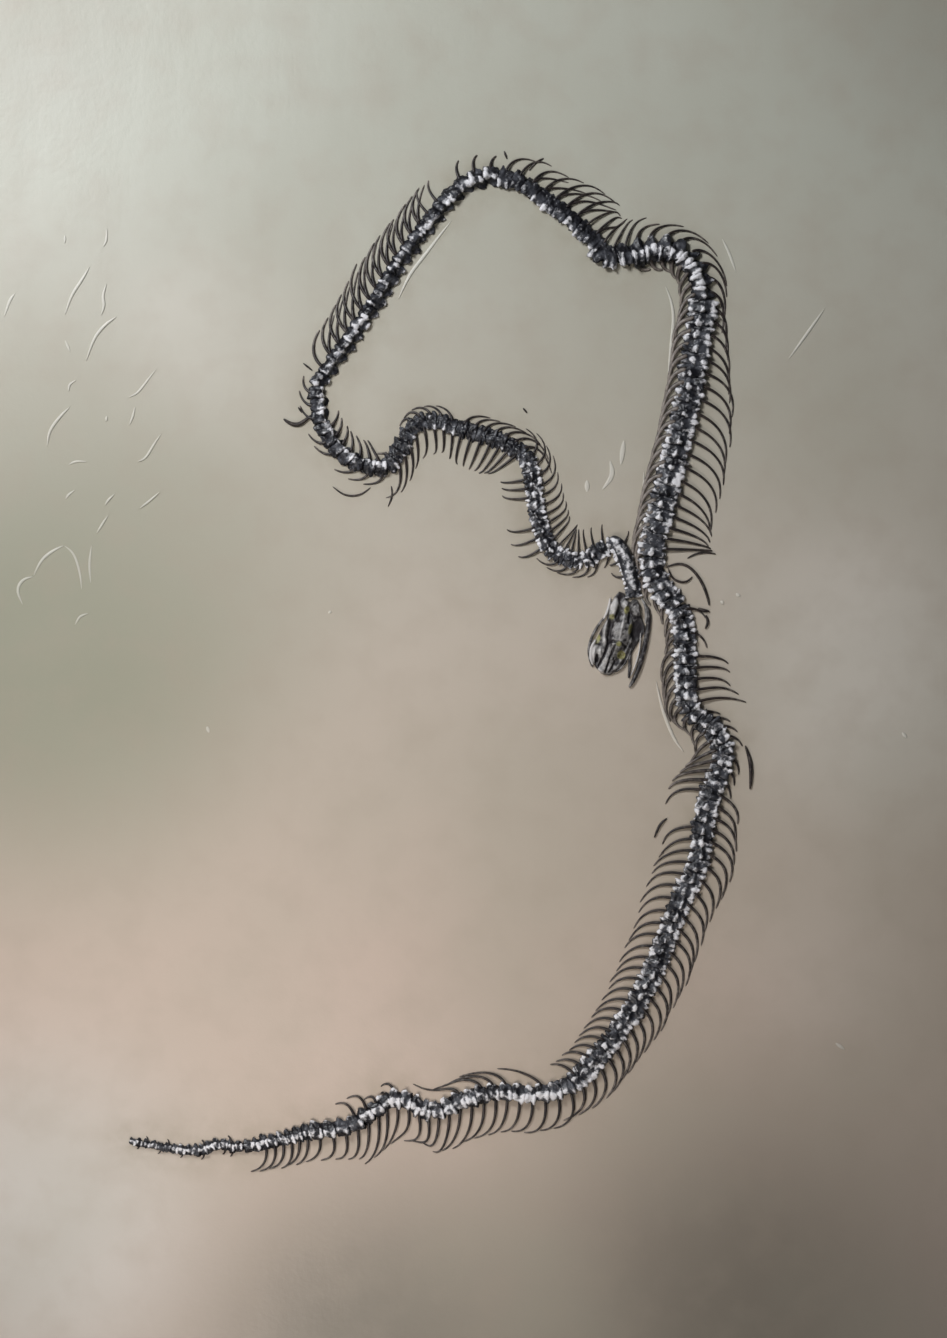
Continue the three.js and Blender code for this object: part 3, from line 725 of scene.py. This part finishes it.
for part, start, end in zip(LENGTHS, length_ends, length_ends[1:]):
    bm = bmesh.new()
    pitch = (end - start) / part.count
    for v in range(part.count):
        half = between(part.halves, (v + 0.5) / part.count)
        stamp(bm, vertebra, vertebra_place(start + (v + 0.5) * pitch, half, pitch, part.roll))
    # painted highlight on what stands high and painted shade on what lies low, together with wear
    worn = bm.verts.layers.float["worn"]
    for vert in bm.verts:
        height = (vert.co.z / MM - FACE) / part.halves[0]
        vert[worn] = wear_and_highlight(vert[worn], vert.co / MM, height, part.roll)
    mesh = finished(bm, part.name + "_vertebrae")
    weather(add_piece(mesh, vertebra_bone, [part.name], levels=2))
print("columns of", len(LENGTHS), "lengths")

# %% [markdown]
# ## The back of the neck
#
# Behind the skull the vertebrae lie so close and so worn that their spines read as one smooth
# ridge, pale on top with wear and a painted highlight. A single rod along their backs says that
# better than seven more separate spines.

# %% The ridge of the neck
NECK_RIDGE = [(57.0, 54.9), (60.7, 52.6), (63.3, 47.6), (65.6, 39.4), (67.6, 32.4)]


def lying(line, height=0):
    """A line on the face, as a function from a share of the way to a point in millimetres."""
    flat = smooth_line(line)
    return lambda share: flat(share).to_3d() + UP * (FACE + height)


bm = bmesh.new()
# the top of the ridge is painted pale: wear and painted highlight
stamp(bm, rod, bent(lying(NECK_RIDGE, height=1.2), blunt(7.2, 3.4), blunt(5.4, 2.6)),
      lambda co: 0.65 if co.y > 0.3 else 0)
add_piece(finished(bm, "neck_ridge"), vertebra_bone, ["neck"], levels=2)
print("neck ridge through", len(NECK_RIDGE), "points")

# %% [markdown]
# ## Grow the ribs
#
# A rib is a quadratic Bezier curve: it leaves the flank, heads for its bow and returns to its
# reach, while its foot slides towards the tail by its sweep. On the inside of a bend it could
# run into another part of the body, so each rib first looks for columns near its tip and is
# shortened until it has room.

# %% The line of one rib
RIB_LEAN = 0.25                              # share of the sweep that is even, not towards the tip
RIB_REST, RIB_SINK = 0.28, 0.40              # height of its middle line, and how far the tip sinks
RIB_ROOM = 0.6                               # kept to another part of the body
OWN_PART = 4                                 # along the body: what lies nearer is no other part
NEARBY = 7                                   # how far a rib looks for other parts
column_tree = kdtree.KDTree(len(samples))
column_half = []
for i, (sample, distance) in enumerate(zip(samples, distances)):
    column_tree.insert(sample.to_3d(), i)
    k = min(bisect.bisect_right(length_ends, distance), len(LENGTHS)) - 1
    share = (distance - length_ends[k]) / (length_ends[k + 1] - length_ends[k])
    column_half.append(between(LENGTHS[k].halves, share))
column_tree.balance()


def trail(t):
    """How much of its sweep a rib has gone at share t of its way."""
    return max(t, 0) * (RIB_LEAN + (1 - RIB_LEAN) * t)


def rib_line(root, hand, start, reach, sweep, bow, fair, lift):
    """The middle line of a rib, from its root at share 0 to its tip at 1."""
    def line(t):
        out = (1 - t) ** 2 * start + 2 * t * (1 - t) * reach * bow + t ** 2 * reach
        foot = root + trail(t) * sweep
        ahead = heading(foot, fair)
        point = along(foot).to_3d() + Vector((-ahead.y, ahead.x, 0)) * hand * out
        return point + UP * (FACE + lift * (1 - t) ** 2 + RIB_REST - RIB_SINK * t)
    return line


def has_room(line, root, sweep):
    """Whether the outer part of a rib keeps clear of other parts of the column."""
    for share in (0.75, 1.0):
        point = line(share)
        foot = root + trail(share) * sweep
        for _, i, gap in column_tree.find_range((point.x, point.y, 0), NEARBY):
            if gap < column_half[i] + RIB_ROOM and abs(distances[i] - foot) > OWN_PART:
                return False
    return True


def fitted_line(root, hand, start, reach, sweep, bow, fair, lift):
    """The line of a rib, cut shorter in steps until it has room."""
    for cut in range(8):
        whole = 1 - cut / 10
        line = rib_line(root, hand, start, between((start, reach), whole), sweep * whole,
                        bow, fair, lift)
        if has_room(line, root, sweep * whole):
            break
    return line


print("the rib's line keeps", RIB_ROOM, "mm clear of", len(samples), "points of the column")

# %% Ribs of every length
RIB_AT = 0.45                                # where along a vertebra its ribs leave it
RIB_WIDTH = (1.55, 0.80)                     # at the root and at the tip
RIB_HEIGHT = (1.2, 0.7)
RIB_LIFT = 0.22                              # of half width: how high the root lies
FULL_RIB = 4                                 # half width of the column that carries full ribs


def add_rib(bm, ribs, hand, root, share, half, fair):
    """Stamp one rib that leaves the column at its root, on the left (1) or the right (-1)."""
    reach = between(ribs.reach, share) * chance.uniform(0.95, 1.03)
    sweep = between(ribs.sweep, share) * chance.uniform(0.88, 1.12)
    inside_column = math.copysign(half / 2, reach)
    line = fitted_line(root, hand, inside_column, reach, sweep, ribs.bow, fair, RIB_LIFT * half)
    slender = ribs.stout * min(1, half / FULL_RIB)
    # stout ribs get a painted highlight along the top of the rod
    pale = 4 * max(0, ribs.stout - 1)
    stamp(bm, rod, bent(line, lambda t: slender * between(RIB_WIDTH, t),
                        lambda t: ribs.stout * between(RIB_HEIGHT, t)),
          lambda co: co.z ** 2 + pale * max(0, co.y))


rib_count = 0
for part, start, end in zip(LENGTHS, length_ends, length_ends[1:]):
    bm = bmesh.new()
    for hand, ribs in ((1, part.left), (-1, part.right)):
        for v in range(part.count):
            if v not in ribs.lost:
                share = (v + RIB_AT) / part.count
                root = start + (v + RIB_AT) * (end - start) / part.count
                add_rib(bm, ribs, hand, root, share, between(part.halves, share), part.fair)
                rib_count += 1
    add_piece(finished(bm, part.name + "_ribs"), rib_bone, [part.name], levels=1)
print(rib_count, "ribs")

# %% [markdown]
# ## The skull
#
# The skull is seen from above, pressed flat, snout down the slab. A grid is fitted between its
# right and left outline and raised by a sum of simple features: swellings for the braincase
# and the frontals, ridges for crests and rims, and creases for sutures. A height function
# keeps the surface whole, and each feature can be named and moved on its own. It is written in
# the skull's own frame: across it towards the animal's left, and from its back to the snout.

# %% The skull's features
SKULL_ORIGIN = Vector((62.8, 29.8))
SKULL_AHEAD = Vector((-0.2546, -0.967))
SKULL_ACROSS = Vector((0.967, -0.2546))
# place from back to snout, then the edges on the animal's right and left
SKULL_EDGES = [(-1.2, -3.6, 7.4), (3.4, -4.7, 10), (7, -4.4, 11.8), (11, -4.6, 12.5), (15, -5.6, 11.5),
               (19.5, -6.6, 10.2), (23, -7.4, 9.2), (25.5, -7.4, 8.1), (29, -5.6, 6.6),
               (31.4, -3.4, 4.4), (33, -0.9, 2.4)]
SWELLINGS = [                                # middle, half size across and along, height, wear and painted highlight
    ((2.9, 13.6), (4.3, 8.8), 2.9, 0.4), ((-0.6, 22.5), (3.6, 5.6), 1.5, 0.45),
    ((3.6, 21.5), (2.6, 4.4), 1.2, 0.1), ((-0.2, 29.2), (4.4, 4.4), 1.3, 0.6),
    ((6.8, 3.4), (2.6, 3.2), 1.9, 0.25), ((-2.8, 4.6), (2.0, 4.2), 1.7, 1.4),
    ((1.4, 2.4), (1.6, 2.2), 1.5, 1.0), ((-5.4, 24.8), (2.4, 3.4), 1.4, 0.9),
]
RIDGES = [                                   # line, half width, height, wear and painted highlight
    ([(2.2, 3.0), (2.4, 9), (2.8, 17)], 0.55, 0.7, 0.55),
    ([(-4.4, 11), (-4.1, 15), (-3.3, 19.4)], 0.8, 1.3, 0.9),
    ([(7.9, 12), (7.3, 19), (5.6, 26), (4.4, 30)], 0.7, 1.0, 0.2),
    ([(7.2, -0.6), (10.4, 3.4), (11.8, 8.0), (11.6, 12)], 0.9, 1.8, 0.5),
    ([(-6.2, 23.5), (-6.0, 27), (-4.2, 30.6), (-0.8, 32.2)], 0.8, 1.2, 0.8),
]
CREASES = [                                  # line, half width, depth
    ([(-1.2, 18.6), (-1.6, 25.2), (-3.1, 31.2)], 0.42, 1.5),
    ([(1.6, 20), (1.0, 26), (0.6, 32)], 0.36, 1.0), ([(3.6, 26.6), (2.2, 31.6)], 0.36, 0.8),
    ([(-2.2, 11), (-1.9, 15), (-1.5, 19)], 0.5, 1.6), ([(-0.6, 4.4), (-0.2, 9.6)], 0.6, 1.5),
    ([(4.4, 5.6), (4.9, 9.4)], 0.6, 1.4), ([(-1.2, 19.2), (2.2, 18.4), (6.2, 19.4)], 0.4, 0.9),
    ([(-4.6, 26), (-3.9, 30.4)], 0.6, 1.3),
]
PITS = [                                     # middle, half size, height of the floor
    ((5.3, 23.4), (1.5, 1.5), 0.3), ((9.2, 11.4), (3.0, 4.8), 0.45), ((-6.2, 19.6), (1.3, 2.0), 0.3),
]
# middle and half size of each fill of ochre stone
MATRIX = [((2.7, 4.5), (1.1, 1.9)), ((5.3, 23.4), (1.9, 1.9)), ((3.0, 19.2), (1.2, 1.1)),
          ((-6.2, 19.2), (1.4, 2.2)), ((6.1, 11.8), (0.8, 2.4)), ((-2.6, 8.8), (1.2, 1.3))]
# how far the back edge stands further to the snout, from the animal's right to its left
BACK_EDGE = [(-3.4, 1.0), (-2.2, -1.2), (0.2, -0.9), (1.4, 1.6), (3.4, 1.9), (4.6, 0.2),
             (6.2, 0.4), (7.4, 2.6)]


def skull_point(u, v, height):
    """A place in the skull's frame, so high above the face, in the model's metres."""
    flat = SKULL_ORIGIN + SKULL_ACROSS * u + SKULL_AHEAD * v
    return Vector((flat.x, flat.y, FACE + height)) * MM


def read_off(table, key):
    """The values of a table of rows at a key between those that its rows begin with."""
    i = max(1, min(bisect.bisect_left([row[0] for row in table], key), len(table) - 1))
    low, high = table[i - 1], table[i]
    share = (key - low[0]) / (high[0] - low[0])
    return [between(pair, share) for pair in zip(low[1:], high[1:])]


def inside(u, v, middle, size):
    """1 in the middle of an oval, falling to 0 at its rim."""
    return max(0, 1 - ((u - middle[0]) / size[0]) ** 2 - ((v - middle[1]) / size[1]) ** 2)


def closeness(u, v, line, width):
    """1 on a line of points, falling to almost 0 a few widths away."""
    best = 1e9
    for (ax, ay), (bx, by) in zip(line, line[1:]):
        dx, dy = bx - ax, by - ay
        t = max(0, min(1, ((u - ax) * dx + (v - ay) * dy) / (dx * dx + dy * dy)))
        best = min(best, (u - ax - t * dx) ** 2 + (v - ay - t * dy) ** 2)
    return math.exp(-best / width ** 2)


print("skull:", len(SWELLINGS), "swellings,", len(RIDGES), "ridges,", len(CREASES), "creases")

# %% Sculpt the skull
BASE = 0.9                                   # height of the skull's roof between its features
LOWEST = 0.35                                # and in its deepest crease
ROUNDED = 1.1                                # width of the rounded rim
SUNK = -0.5                                  # where its edge goes into the stone
HOLLOW = -0.8                                # value for wear and light in a crease or a pit: painted shade, where no pale bone shows


def skull_height(u, v, rim):
    """Height, wear with painted highlight and shade, and fill of stone at a place in the skull's frame, so
    far inside its rim.
    """
    height = BASE + 0.25 * noise.noise(Vector((u * 0.8, v * 0.8, 0)))
    worn = 0.0
    for middle, size, lift, pale in SWELLINGS:
        share = math.sqrt(inside(u, v, middle, size))
        height += lift * share
        worn += pale * share
    for line, width, lift, pale in RIDGES:
        share = closeness(u, v, line, width)
        height += lift * share
        worn += pale * share
    for line, width, depth in CREASES:
        share = closeness(u, v, line, width)
        height -= depth * share
        worn += (HOLLOW - worn) * share
    height = max(height, LOWEST)
    for middle, size, floor_height in PITS:
        share = min(1, 2.2 * inside(u, v, middle, size))
        height += (floor_height - height) * share
        worn += (HOLLOW - worn) * share
    edge = min(1, rim / ROUNDED)
    fill = max(min(1, 3 * inside(u, v, *oval)) for oval in MATRIX)
    return SUNK + (height - SUNK) * math.sqrt(1 - (1 - edge) ** 2), worn * (1 - fill), fill


bm = bmesh.new()
bmesh.ops.create_grid(bm, x_segments=44, y_segments=70, size=1)
worn = bm.verts.layers.float.new("worn")
matrix = bm.verts.layers.float.new("matrix")
for vert in bm.verts:
    v = SKULL_EDGES[0][0] + (vert.co.y + 1) / 2 * (SKULL_EDGES[-1][0] - SKULL_EDGES[0][0])
    right_edge, left_edge = read_off(SKULL_EDGES, v)
    u = right_edge + (vert.co.x + 1) / 2 * (left_edge - right_edge)
    rim = min(u - right_edge, left_edge - u, v - SKULL_EDGES[0][0], SKULL_EDGES[-1][0] - v)
    v += read_off(BACK_EDGE, u)[0] * (0.5 - vert.co.y / 2) ** 6
    height, vert[worn], vert[matrix] = skull_height(u, v, max(0, rim))
    vert.co = skull_point(u, v, height)
bmesh.ops.holes_fill(bm, edges=[edge for edge in bm.edges if edge.is_boundary])
add_piece(finished(bm, "cranium_roof"), skull_bone, ["cranium"])
top = max(vert.co.z for vert in bpy.data.meshes["cranium_roof"].vertices) / MM
print("cranium_roof stands", round(top - FACE, 1), "mm high")

# %% [markdown]
# ## Jaws and cheek bones
#
# The jaws lie beside the skull as long loose bars. Each is the same rod again, bent along a
# smooth line through a few points, thickest at its middle and thinner at both ends.

# %% Bars of the skull
BAR_HEIGHT = 0.3                             # of a bar's middle line above the face
# piece, CAD node, wear and painted highlight, width, height, line in the skull's frame
BARS = [
    ("mandible_left_outer", "mandible_left", 0.0, 2.8, 3.4,
     [(10.4, 0.4), (12.6, 4.6), (13.5, 11), (14, 19), (14, 26), (13.4, 31), (11.9, 36)]),
    ("mandible_left_inner", "mandible_left", 1.5, 0.9, 2.4,
     [(10.8, 12), (12.2, 19), (12.2, 26), (11.4, 31)]),
    ("mandible_right_bar", "mandible_right", 0.2, 1.7, 2.6,
     [(-4.9, 8.8), (-7.1, 13.4), (-8.4, 18.3), (-8.7, 23.8), (-7.3, 28), (-5.0, 31.4)]),
    ("maxilla_right_bar", "mandible_right", 1.3, 2.2, 3.4,
     [(-6.6, 19.6), (-7.5, 23.6), (-6.9, 27.6), (-5.0, 30.6)]),
    ("pterygoid_left_bar", "pterygoid_left", 0.0, 1.7, 2.0,
     [(8.6, 20), (9.4, 25), (10.4, 29), (10.8, 32)]),
    ("maxilla_left_bar", "pterygoid_left", 0.2, 1.2, 2.2,
     [(8.8, 17.6), (8.2, 24), (6.9, 28.4), (4.6, 31)]),
    ("quadrate_left_bar", "cranium", 0.4, 1.8, 3.2, [(7.4, -1.8), (9.8, 0.6), (11.2, 4.2), (11.8, 8)]),
    ("quadrate_right_bar", "cranium", 1.3, 1.6, 2.8, [(-5.2, 1.2), (-4.9, 4.6), (-5.1, 8.4), (-5.8, 11)]),
]


def beside_skull(line):
    """A line in the skull's frame, as a function from a share of the way to a point."""
    flat = smooth_line(line)
    return lambda share: skull_point(*flat(share), BAR_HEIGHT) / MM


for name, node, pale, width, height, line in BARS:
    bm = bmesh.new()
    stamp(bm, rod, bent(beside_skull(line), spindle(width, 0.55, 1.5), spindle(height, 0.7, 0.6)),
          lambda co: pale)
    add_piece(finished(bm, name), skull_bone, [node], levels=2)
print(len(BARS), "bars")

# %% [markdown]
# ## Loose bones
#
# A few ribs and splinters have come away and lie beside the body. They are rods too, each one
# a piece of its own that stands for the CAD node of the same name.

# %% Loose ribs and splinters
LOOSE = {                                    # width, line
    "loose_rib_bend": (2.5, [(-80, 105.2), (-76.8, 103), (-73.6, 102.6), (-70.9, 104.2), (-67.5, 107)]),
    "loose_rib_long": (1.2, [(-59.4, 76.8), (-54, 73), (-47.7, 73.1), (-43, 76.4)]),
    "loose_rib_hook": (1.1, [(-34.6, 77), (-34.2, 73), (-36, 68)]),
    "splinter_1": (1.1, [(-73.7, 110), (-72, 107.6)]),
    "splinter_2": (1.1, [(20.8, 109.6), (22.5, 107.5)]),
    "splinter_3": (1.1, [(12.8, 217.6), (14, 214.2)]),
    "splinter_4": (1.2, [(23.3, 209.2), (26, 212.6), (29.6, 214.6)]),
    "splinter_5": (1.5, [(81.3, -62.6), (78.3, -65.5), (75.8, -71)]),
    "splinter_6": (1.1, [(-71.6, 128.5), (-67.6, 125.3)]),
    "loose_rib_outer": (2.2, [(114, -31.9), (116, -38), (116.6, -44), (116.1, -50.8)]),
    "crossed_rib_long": (1.7, [(80.6, 42.6), (84.8, 44.2), (89, 44.1), (93.6, 40.4), (97, 34.2),
                               (98.6, 29), (99, 26.4)]),
    "crossed_rib_arch": (1.2, [(89.6, 46.4), (93.4, 48.4), (98.4, 48.9), (102, 48.2)]),
    "crossed_rib_low": (1.4, [(81.6, 42.6), (83.4, 38.4), (86.4, 36.6), (89.6, 36.6), (92, 38.9)]),
    "crossed_bar": (1.8, [(94.2, 25.6), (96.8, 24.6), (99.2, 24.2)]),
    "crossed_splint": (1.5, [(97.6, 22.8), (98.4, 19.6), (97.2, 16.8)]),
}
for name, (width, line) in LOOSE.items():
    bm = bmesh.new()
    stamp(bm, rod, bent(lying(line), spindle(width, 0.4, 2.2), spindle(1.4 * width, 0.5, 1.6)),
          lambda co: 0.25)
    add_piece(finished(bm, name + "_bone"), rib_bone, [name], levels=1)
print(len(LOOSE), "loose bones")

# %% [markdown]
# ## The slab
#
# The slab is a grid, pulled down at its border into a chamfer, sides and an underside. Its
# face isn't flat: broad gentle swells, as on a split bedding plane, move the highlight about.
# Each point also stores how near it is to the column, for the stain and the painted shade there.

# %% Slab with a gently uneven face
SLAB_CELL = 2.2
CHAMFER = 1.5
SWELL, RIPPLE = 0.22, 0.07                   # heights of the broad and the narrow unevenness
STAIN_AND_SHADE_REACH = 11                             # how far from the column the stain and painted shade fade out
low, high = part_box("slab")
half_x, half_y = high.x / MM, high.y / MM


def face_height(x, y):
    swell = noise.noise(Vector((x / 70, y / 70, 0.3))) * SWELL
    ripple = noise.noise(Vector((x / 16, y / 30, 4.1))) * RIPPLE
    return FACE - SWELL + swell + ripple


bm = bmesh.new()
bmesh.ops.create_grid(bm, x_segments=int(2 * half_x / SLAB_CELL),
                      y_segments=int(2 * half_y / SLAB_CELL), size=1)
border = [edge for edge in bm.edges if edge.is_boundary]
near = bm.verts.layers.float.new("near")
for vert in bm.verts:
    x, y = vert.co.x * (half_x - CHAMFER), vert.co.y * (half_y - CHAMFER)
    gap = column_tree.find((x, y, 0))[2]
    vert[near] = math.exp(-(gap / STAIN_AND_SHADE_REACH) ** 2)
    on_border = abs(vert.co.x) > 0.999 or abs(vert.co.y) > 0.999
    vert.co = (x, y, FACE if on_border else min(FACE, face_height(x, y)))
# the upper chamfer, the sides and the lower chamfer: how far outwards, and down to what height
for spread, height in ((CHAMFER, FACE - CHAMFER), (0, CHAMFER), (-CHAMFER, 0)):
    made = bmesh.ops.extrude_edge_only(bm, edges=border)["geom"]
    border = [edge for edge in made if isinstance(edge, bmesh.types.BMEdge) and edge.is_boundary]
    for vert in {v for edge in border for v in edge.verts}:
        far_x, far_y = abs(vert.co.x) > half_x - 1.01 * CHAMFER, abs(vert.co.y) > half_y - 1.01 * CHAMFER
        vert.co.x += spread * far_x * math.copysign(1, vert.co.x)
        vert.co.y += spread * far_y * math.copysign(1, vert.co.y)
        vert.co.z = height
bmesh.ops.holes_fill(bm, edges=border)
bmesh.ops.scale(bm, vec=(MM, MM, MM), verts=bm.verts)
add_piece(finished(bm, "slab_cast"), resin, ["slab"])
print("slab_cast:", len(bpy.data.meshes["slab_cast"].polygons), "faces")

# %% [markdown]
# ## Marks on the face
#
# The maker's brush and the mould have left small raised ridges: rims of resin along the bones,
# hair-thin crack lines and a few smears. They are low rods in the slab's own finish, painted a
# little paler all over as a painted highlight.

# %% Ridges and smears of resin
MARKS = {                                    # width, height, lines
    "rims": (0.95, 1.0, [
        [(-31.7, 155), (-28.8, 161.7), (-25.8, 167.2), (-20.4, 173.9), (-14.1, 182.3), (-9, 188.6)],
        [(80.4, 161.3), (83, 155), (84.2, 147.4), (83, 136.1), (82.1, 125.6), (81.7, 115.1)],
        [(71.6, 83.6), (71.2, 71), (69.9, 58.4), (70.3, 50.8)],
        [(76.6, -4.6), (78.8, -15.1), (81.7, -23.5), (85, -30.7), (88.4, -34.9)]]),
    "streaks": (0.8, 0.75, [
        [(104.4, 181), (107.7, 173.9), (110.2, 166.7)], [(147.6, 151.6), (140.5, 141.5), (132.1, 129.8)]]),
    "smears": (1.4, 0.6, [
        [(47.7, 79.4), (47.7, 74.3)], [(57.3, 87.8), (58.2, 81.5), (54, 75.2)],
        [(63.2, 96.2), (61.9, 85.7)]]),
    "cracks": (0.9, 0.9, [
        [(-161.3, 169), (-164.6, 163.4), (-168.8, 157.1), (-171.6, 148.7)],
        [(-154.1, 162), (-155.8, 156.4), (-155.2, 152.9), (-156.4, 148.7)],
        [(-149.9, 148), (-154.1, 145.2), (-159, 139.6), (-162.8, 129.1)],
        [(-169.5, 110.2), (-173.7, 106), (-178.2, 99.7), (-179, 93.4)],
        [(-192.6, 157.8), (-194.7, 155), (-197.1, 148)],
        [(-172, 51.9), (-176.5, 49.7), (-181.4, 45.8), (-184.9, 38.8)],
        [(-184.9, 38.8), (-189.3, 37.4), (-191.6, 33.2), (-189.3, 26.9)]]),
    "scars": (0.65, 0.38, [
        [(-172, 51.9), (-168.1, 48.6), (-165.3, 40.2), (-164.6, 33.2)],
        [(-160.4, 52.1), (-161.3, 44.4), (-160.8, 36)],
        [(-133.1, 126.3), (-138, 120), (-141.5, 115.8), (-145, 114.1)],
        [(-142.2, 110.2), (-143.2, 106), (-144.6, 102.5)],
        [(-131, 99), (-134.5, 94.1), (-138, 88.5), (-141.2, 87.1)],
        [(-131.7, 74.5), (-136.6, 70.3), (-140.3, 67.5)], [(-153.4, 64.7), (-156.2, 60.5), (-158.3, 57)],
        [(-150.6, 73.8), (-153.4, 71), (-154.8, 68.9)], [(-171.6, 138.2), (-169.5, 133.3)],
        [(-166.9, 121.4), (-169.8, 119.3), (-170, 116.5)],
        [(-154.1, 185.1), (-154.3, 180.2), (-155.5, 177.4)], [(-171.6, 182.3), (-171.8, 178.8)],
        [(-167.4, 75.2), (-170.2, 73.1), (-171.3, 71.3)], [(-154.1, 106.3), (-154.3, 104)],
        [(-161.8, 23.4), (-165.3, 22), (-167.4, 18.5)], [(-170.2, 85.7), (-167.4, 87.1), (-162.2, 87.1)]]),
    "nicks": (1.0, 0.8, [
        [(-112, -24), (-111, -26.8)], [(180, -26.5), (182, -29)], [(152, -157), (156, -160)],
        [(103.8, 28.8), (105, 27.2)], [(110.2, 31.8), (112, 30.4)], [(-60.6, 24.4), (-60, 23.3)]]),
}
for name, (width, height, lines) in MARKS.items():
    bm = bmesh.new()
    for line in lines:
        # every mark is painted paler all over: a painted highlight
        stamp(bm, rod, bent(lying(line), spindle(1.9 * width, 0.15, 3.2),
                            spindle(0.6 * height, 0.1, 3.2)), lambda co: 1.0)
    add_piece(finished(bm, "resin_" + name), resin, ["slab"], levels=1)
print(sum(len(lines) for _, _, lines in MARKS.values()), "marks")

# %% [markdown]
